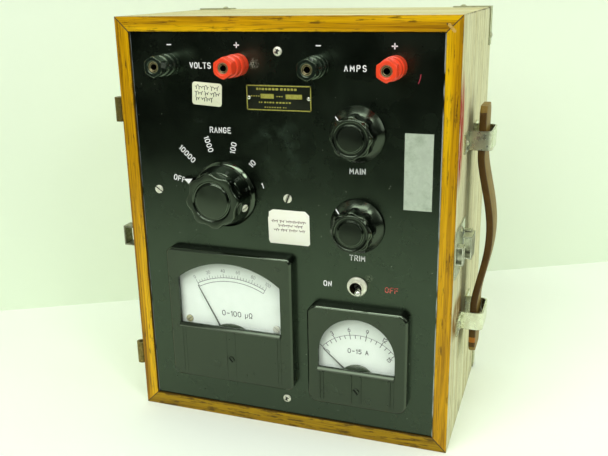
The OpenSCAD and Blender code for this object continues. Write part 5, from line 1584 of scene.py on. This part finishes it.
@dataclass(frozen=True)
class ToggleSwitch:
    """Ring nut and bush of the toggle switch."""

    at: Point = (69.0, 151.0)
    nut: float = 9.0
    bush: float = 5.9
    throat: float = 3.2
    behind: float = -3.2
    tall: float = 6.0

    def build(self) -> None:
        """Turn the ring nut on its dark bush."""
        draft = Draft()
        draft.lathe([
            (self.throat, self.behind), (self.bush, self.behind), (self.bush, 0.0), (self.nut - 0.4, 0.0),
            (self.nut, 0.4), (self.nut, 1.7), (self.nut - 0.5, 2.3), (self.nut - 1.2, 2.6),
            (self.bush + 0.5, 2.6), (self.bush, 2.8), (self.bush, self.tall - 0.5),
            (self.bush - 0.4, self.tall), (self.bush - 0.9, self.tall), (self.throat + 0.1, 1.6)],
            64, round_trip=True)
        draft.paint(1, lambda at: math.hypot(at.x, at.y) < self.bush - 0.6 or at.z < 0.0)
        draft.place("toggle_ring_nut", on_panel(*self.at), [SCREW_NICKEL, DARK_BRASS], "nickel", CASE,
                    ["toggle_bush"])


@dataclass(frozen=True)
class PanelMeter:
    """Moving-coil meter with a moulded cover, a window and a printed dial."""

    name: str
    x: float
    z: float
    wide: float
    tall: float
    corner: float
    window: Outline
    sill: float
    bar_half: float
    pivot: float
    half_swing: float
    zero_z: float
    deep: float = 10.0
    bevel: float = 1.8
    front: float = 2.5
    wall: float = 3.0
    bar_tall: float = 5.0
    bar_out: float = 2.6
    dial_at: float = 2.1
    rib_off: float = 1.6
    rib_tall: float = 0.5
    rib_wide: float = 1.5
    rib_sunk: float = 0.3
    rib_in: float = 2.4
    rib_middle: float = 4.4
    lug_rise: float = 4.4
    lug_down: float = 5.0
    lug_span: Point = (4.5, 5.6)
    lug_foot: Point = (12.0, 2.4)
    lug_foot_span: Point = (5.0, 8.0)
    zero_screw: ScrewHead = ScrewHead(3.0, 0.9, 1.0, 0.8)
    zero_deg: float = -50.0

    def build(self) -> None:
        """Build the cover and print the dial."""
        self.cover()
        self.zero_head()
        self.print_dial()

    def cover(self) -> None:
        """Build the cover as one shell with its window, sill bar and ribs."""
        draft = Draft()
        top = max(y for _, y in self.window)
        centre = (0.0, (top - self.sill) / 2)
        outside = oblong(self.wide, self.tall, self.corner, 10)
        angles = {round(math.tau * i / 200, 5) for i in range(200)}
        angles |= {round(math.atan2(y - centre[1], x) % math.tau, 5) for x, y in self.window + outside}
        spread = sorted(angles)
        chamfer = ((0.0, 1.0), (0.12, 0.8), (0.8, 0.12), (1.0, 0.0))
        skirt = [(outside, 0.0)]
        for share, down in chamfer:
            skirt.append((inset(outside, self.bevel * share), self.deep - self.bevel * down))
        lip = [(inset(self.window, -0.7), self.deep), (inset(self.window, -0.2), self.deep - 0.15),
               (self.window, self.deep - 0.6), (self.window, self.deep - self.front)]
        back = [(inset(outside, self.wall), self.deep - self.front), (inset(outside, self.wall), 0.0)]
        draft.stack([(rays(o, centre, spread), z) for o, z in skirt + lip + back], round_trip=True)
        rim_x, rim_y, rim_z = self.wide / 2 - self.bevel, self.tall / 2 - self.bevel, self.deep - self.bevel
        draft.paint(1, lambda at: at.z > rim_z and (abs(at.x) > rim_x or abs(at.y) > rim_y))
        self.trim(draft)
        draft.place(self.name + "_shell", on_panel(self.x, self.z),
                    [COVER_PHENOLIC, LEDGE_PHENOLIC, LUG_REFLECTION_PAINT], "cover_black", CASE,
                    [self.name + "_cover"], sharp=18.0)

    def trim(self, draft: Draft) -> None:
        """Add the ledge under the window, the fine ribs below it and the lug behind it."""
        y = -self.sill - self.bar_tall / 2
        d, out, top = self.deep, self.bar_out, y + self.bar_tall
        profile = [
            (y + 0.3, d - 1.2), (top, d - 1.2), (top, d + 0.3), (top - 0.2, d + 0.7),
            (top - 1.8, d + out - 0.3), (top - 2.3, d + out), (y + 1.3, d + 0.75 * out),
            (y + 0.6, d + 0.55 * out), (y, d + 0.1 * out)]
        draft.mark = 1
        draft.bar(profile, -self.bar_half - 0.6, self.bar_half)
        draft.mark = 0
        foot = -self.tall / 2 + self.wall + self.bevel
        length = y - foot
        side = oblong(self.rib_wide, length, 0.3, 2)
        crest = oblong(self.rib_wide - 0.4, length - 0.4, 0.2, 2)
        low, high = d - self.rib_sunk, d + self.rib_tall
        end = self.bar_half - self.rib_in
        for middle, off in ((-end, self.rib_off), (0.0, self.rib_middle), (end, self.rib_off)):
            for x in (middle - off, middle + off):
                draft.stack([(side, low), (side, high - self.rib_sunk), (crest, high)],
                            centre=(x, (y + foot) / 2))
        self.lug(draft)

    def lug(self, draft: Draft) -> None:
        """Add the round-topped lug that hides the pivot, on its foot behind the sill."""
        radius = -self.pivot - self.sill + self.lug_rise
        low = -self.sill - self.lug_down
        open_deg = math.degrees(math.acos((low - self.pivot) / radius))
        plate = arc(0, self.pivot, radius, radius, 90 - open_deg, 90 + open_deg, 24)
        # The lug takes mark 2, which paints in the floor's reflection
        draft.mark = 2
        draft.stack(rounded(plate, *self.lug_span, 0.0, 0.3, 2))
        draft.slab(oblong(*self.lug_foot, 0.3, 2), *self.lug_foot_span, (0.0, low + 1.3))

    def zero_head(self) -> None:
        """Set the slotted zero adjuster between the middle ribs."""
        draft = Draft()
        self.zero_screw.slotted(draft, 0.0, 0.0, self.deep, self.zero_deg)
        draft.place(self.name + "_zero_head", on_panel(self.x, self.zero_z), [COVER_PHENOLIC, SLOT_SHADOW],
                    "cover_black", self.name + "_adjuster", [self.name + "_zero"])

    def at(self, angle: float, radius: float) -> Point:
        """Place on the dial, by degrees to the right of upright and radius from the pivot."""
        a = math.radians(90 - angle)
        return radius * math.cos(a), self.pivot + radius * math.sin(a)

    def sweep(self, radius: float) -> Outline:
        """Arc of the scale at a radius from the pivot."""
        return arc(0, self.pivot, radius, radius, 90 + self.half_swing, 90 - self.half_swing, 40)

    def print_dial(self) -> None:
        """Print the scale."""
        raise NotImplementedError


@dataclass(frozen=True)
class OhmMeter(PanelMeter):
    """Left meter, with a wide window and a scale in a closed band."""

    band: Point = (69.0, 72.5)
    band_line: float = 0.5
    tick_line: float = 0.4
    steps: int = 25
    minor: float = 74.8
    major: float = 76.2
    numbers_at: float = 79.2
    number_hand: Lettering = Lettering(2.9, 0.34)
    unit_at: Point = (5.0, 2.8)
    unit_hand: Lettering = Lettering(4.8, 0.74, 0.9, 2.2)
    dial_screw: ScrewHead = ScrewHead(3.5, 1.1, 0.6, 0.5)
    # Mark of the finish, place across the dial and turn of the slot
    dial_screws: tuple[tuple[int, float, float], ...] = ((0, -44.8, 35.0), (2, 44.6, -40.0))
    dial_screws_y: float = -7.2

    def print_dial(self) -> None:
        """Print the band, its divisions outside it, and thin numbers."""
        base = self.dial_at
        inner, outer = self.band
        ink, thin = Draft(), Draft()
        for radius in (outer, inner):
            ink.stroke(self.sweep(radius), self.band_line, base, SCALE_RISE)
        for end in (-self.half_swing, self.half_swing):
            ink.stroke([self.at(end, r) for r in self.band], self.band_line, base, SCALE_RISE)
        for i in range(self.steps + 1):
            angle = self.half_swing * (2 * i / self.steps - 1)
            reach = self.minor if i % 5 else self.major
            thin.stroke([self.at(angle, r) for r in (outer, reach)], self.tick_line, base, SCALE_RISE)
            if i % 5 == 0:
                text = str(100 * i // self.steps)
                self.number_hand.write(thin, text, *self.at(angle, self.numbers_at), -angle, base)
        self.unit_hand.write(ink, "0-100 µΩ", *self.unit_at, 0.0, base)
        frame_at = on_panel(self.x, self.z)
        ink.place(self.name + "_scale", frame_at, [DIAL_INK], "dial")
        thin.place(self.name + "_divisions", frame_at, [FAINT_INK], "dial")
        screws = Draft()
        for mark, x, turn in self.dial_screws:
            screws.mark = mark
            self.dial_screw.slotted(screws, x, self.dial_screws_y, base, turn)
        screws.place(self.name + "_dial_screws", frame_at, [BRASS_SCREW, SLOT_SHADOW, ZINC_PLATE], "nickel")


@dataclass(frozen=True)
class AmpMeter(PanelMeter):
    """Right meter, with a round-topped window and an open scale."""

    scale_at: float = 45.0
    arc_line: float = 0.4
    tick_line: float = 0.62
    steps: int = 15
    minor: Point = (42.0, 45.0)
    major: Point = (41.2, 47.4)
    numbers_at: float = 50.2
    end_numbers_at: float = 38.2
    number_hand: Lettering = Lettering(3.8, 0.62)
    unit_y: float = 5.1
    unit_hand: Lettering = Lettering(4.0, 0.68, 0.9, 2.4)

    def print_dial(self) -> None:
        """Print the arc with divisions across it, the numbers and the unit."""
        base = self.dial_at
        ink = Draft()
        ink.stroke(self.sweep(self.scale_at), self.arc_line, base, SCALE_RISE)
        for i in range(self.steps + 1):
            angle = self.half_swing * (2 * i / self.steps - 1)
            ends = self.minor if i % 3 else self.major
            ink.stroke([self.at(angle, r) for r in ends], self.tick_line, base, SCALE_RISE)
            if i % 3 == 0:
                radius = self.numbers_at if 0 < i < self.steps else self.end_numbers_at
                self.number_hand.write(ink, str(i), *self.at(angle, radius), -angle, base)
        self.unit_hand.write(ink, "0-15 A", 0.0, self.unit_y, 0.0, base)
        ink.place(self.name + "_scale", on_panel(self.x, self.z), [DIAL_INK], "dial")


# Nodes that keep their CAD shape, by what they are made of
PLAIN_PIECES = (
    (FRONT_OAK, "case_left", "case_right"),
    (CROSS_OAK, "case_top"),
    (LOW_OAK, "case_bottom"),
    (BACK_PLY, "case_back", "panel_cleats"),
    (DULL_NICKEL, "corner_straps", "case_screws", "cell_clamp"),
    (LOOP_NICKEL, "handle_loops"),
    (CATCH_NICKEL, "latch_plate", "latch_flap"),
    (STAY_STEEL, "stay_loop"),
    (HINGE_STEEL, "hinge_halves"),
    (PANEL, "front_panel"),
    (TAG_METAL, "asset_tag"),
    (PLATE_BLACK, "nameplate"),
    (BLACK_POST, "black_post_bases"),
    (RED_PLASTIC, "red_post_bases"),
    (DARK_BRASS, *(post[0] + "_insert" for post in POSTS)),
    (TURNED_BRASS, "terminal_nuts", "shaft_bushes", "deck_hardware"),
    (BRIGHT_NICKEL, "range_shaft", "range_arm", "coarse_shaft", "fine_shaft", "toggle_lever"),
    (PHENOLIC_BOARD, "range_deck", "toggle_body"),
    (SPOOL_WIRE, "range_resistors"),
    (CERAMIC, "coarse_rheostat", "fine_rheostat"),
    (CAN_PAINT, "meter_cans"),
    (MAGNET_STEEL, "meter_magnets"),
    (DIAL_CARD, "meter_dials"),
    (NEEDLE, "ohm_pointer", "amp_pointer"),
    (GLASS, "meter_glasses"),
    (ZINC_CELL, "dry_cells"),
    (LEAD_SLEEVE, "wiring"),
)


def ohm_window() -> Outline:
    """Window of the left meter: straight sides under a flat arch."""
    half, shoulder, crown, sill = 51.0, 36.5, 54.5, -11.0
    rise = crown - shoulder
    radius = (half ** 2 + rise ** 2) / (2 * rise)
    open_deg = math.degrees(math.asin(half / radius))
    arch = arc(0, crown - radius, radius, radius, 90 - open_deg, 90 + open_deg, 40)
    return [(-half, sill), (half, sill)] + arch


def amp_window() -> Outline:
    """Window of the right meter: a round head on straight sides."""
    half, spring, sill = 35.2, 3.6, -13.0
    return [(-half, sill), (half, sill)] + arc(0, spring, half, half, 0, 180, 48)


def main() -> None:
    """Build the object and its surroundings."""
    logging.basicConfig(level=logging.INFO, format="%(name)s: %(message)s")
    parts = [
        Studio(), CaseMitres(), CarryStrap(), FrontPanel(), RangeControl(), SkirtedKnob("coarse", 286.0),
        SkirtedKnob("fine", 206.5), ToggleSwitch(), PostStuds(),
        OhmMeter("ohm", x=-52.0, z=107.8, wide=124.5, tall=130.5, corner=6.0, window=ohm_window(), sill=11.0,
                 bar_half=51.0, pivot=-34.0, half_swing=28.0, zero_z=66.3),
        AmpMeter("amp", x=70.5, z=84.0, wide=92.0, tall=96.5, corner=9.0, window=amp_window(), sill=13.0,
                 bar_half=35.2, pivot=-24.0, half_swing=48.5, zero_z=52.5, rib_tall=1.1, lug_rise=6.2),
    ]
    parts += [BindingPost(*post) for post in POSTS]
    for finish, *nodes in PLAIN_PIECES:
        dress(finish, *nodes)
    for part in parts:
        part.build()
        LOG.info("%s is done", type(part).__name__)


if __name__ == "__main__":
    main()
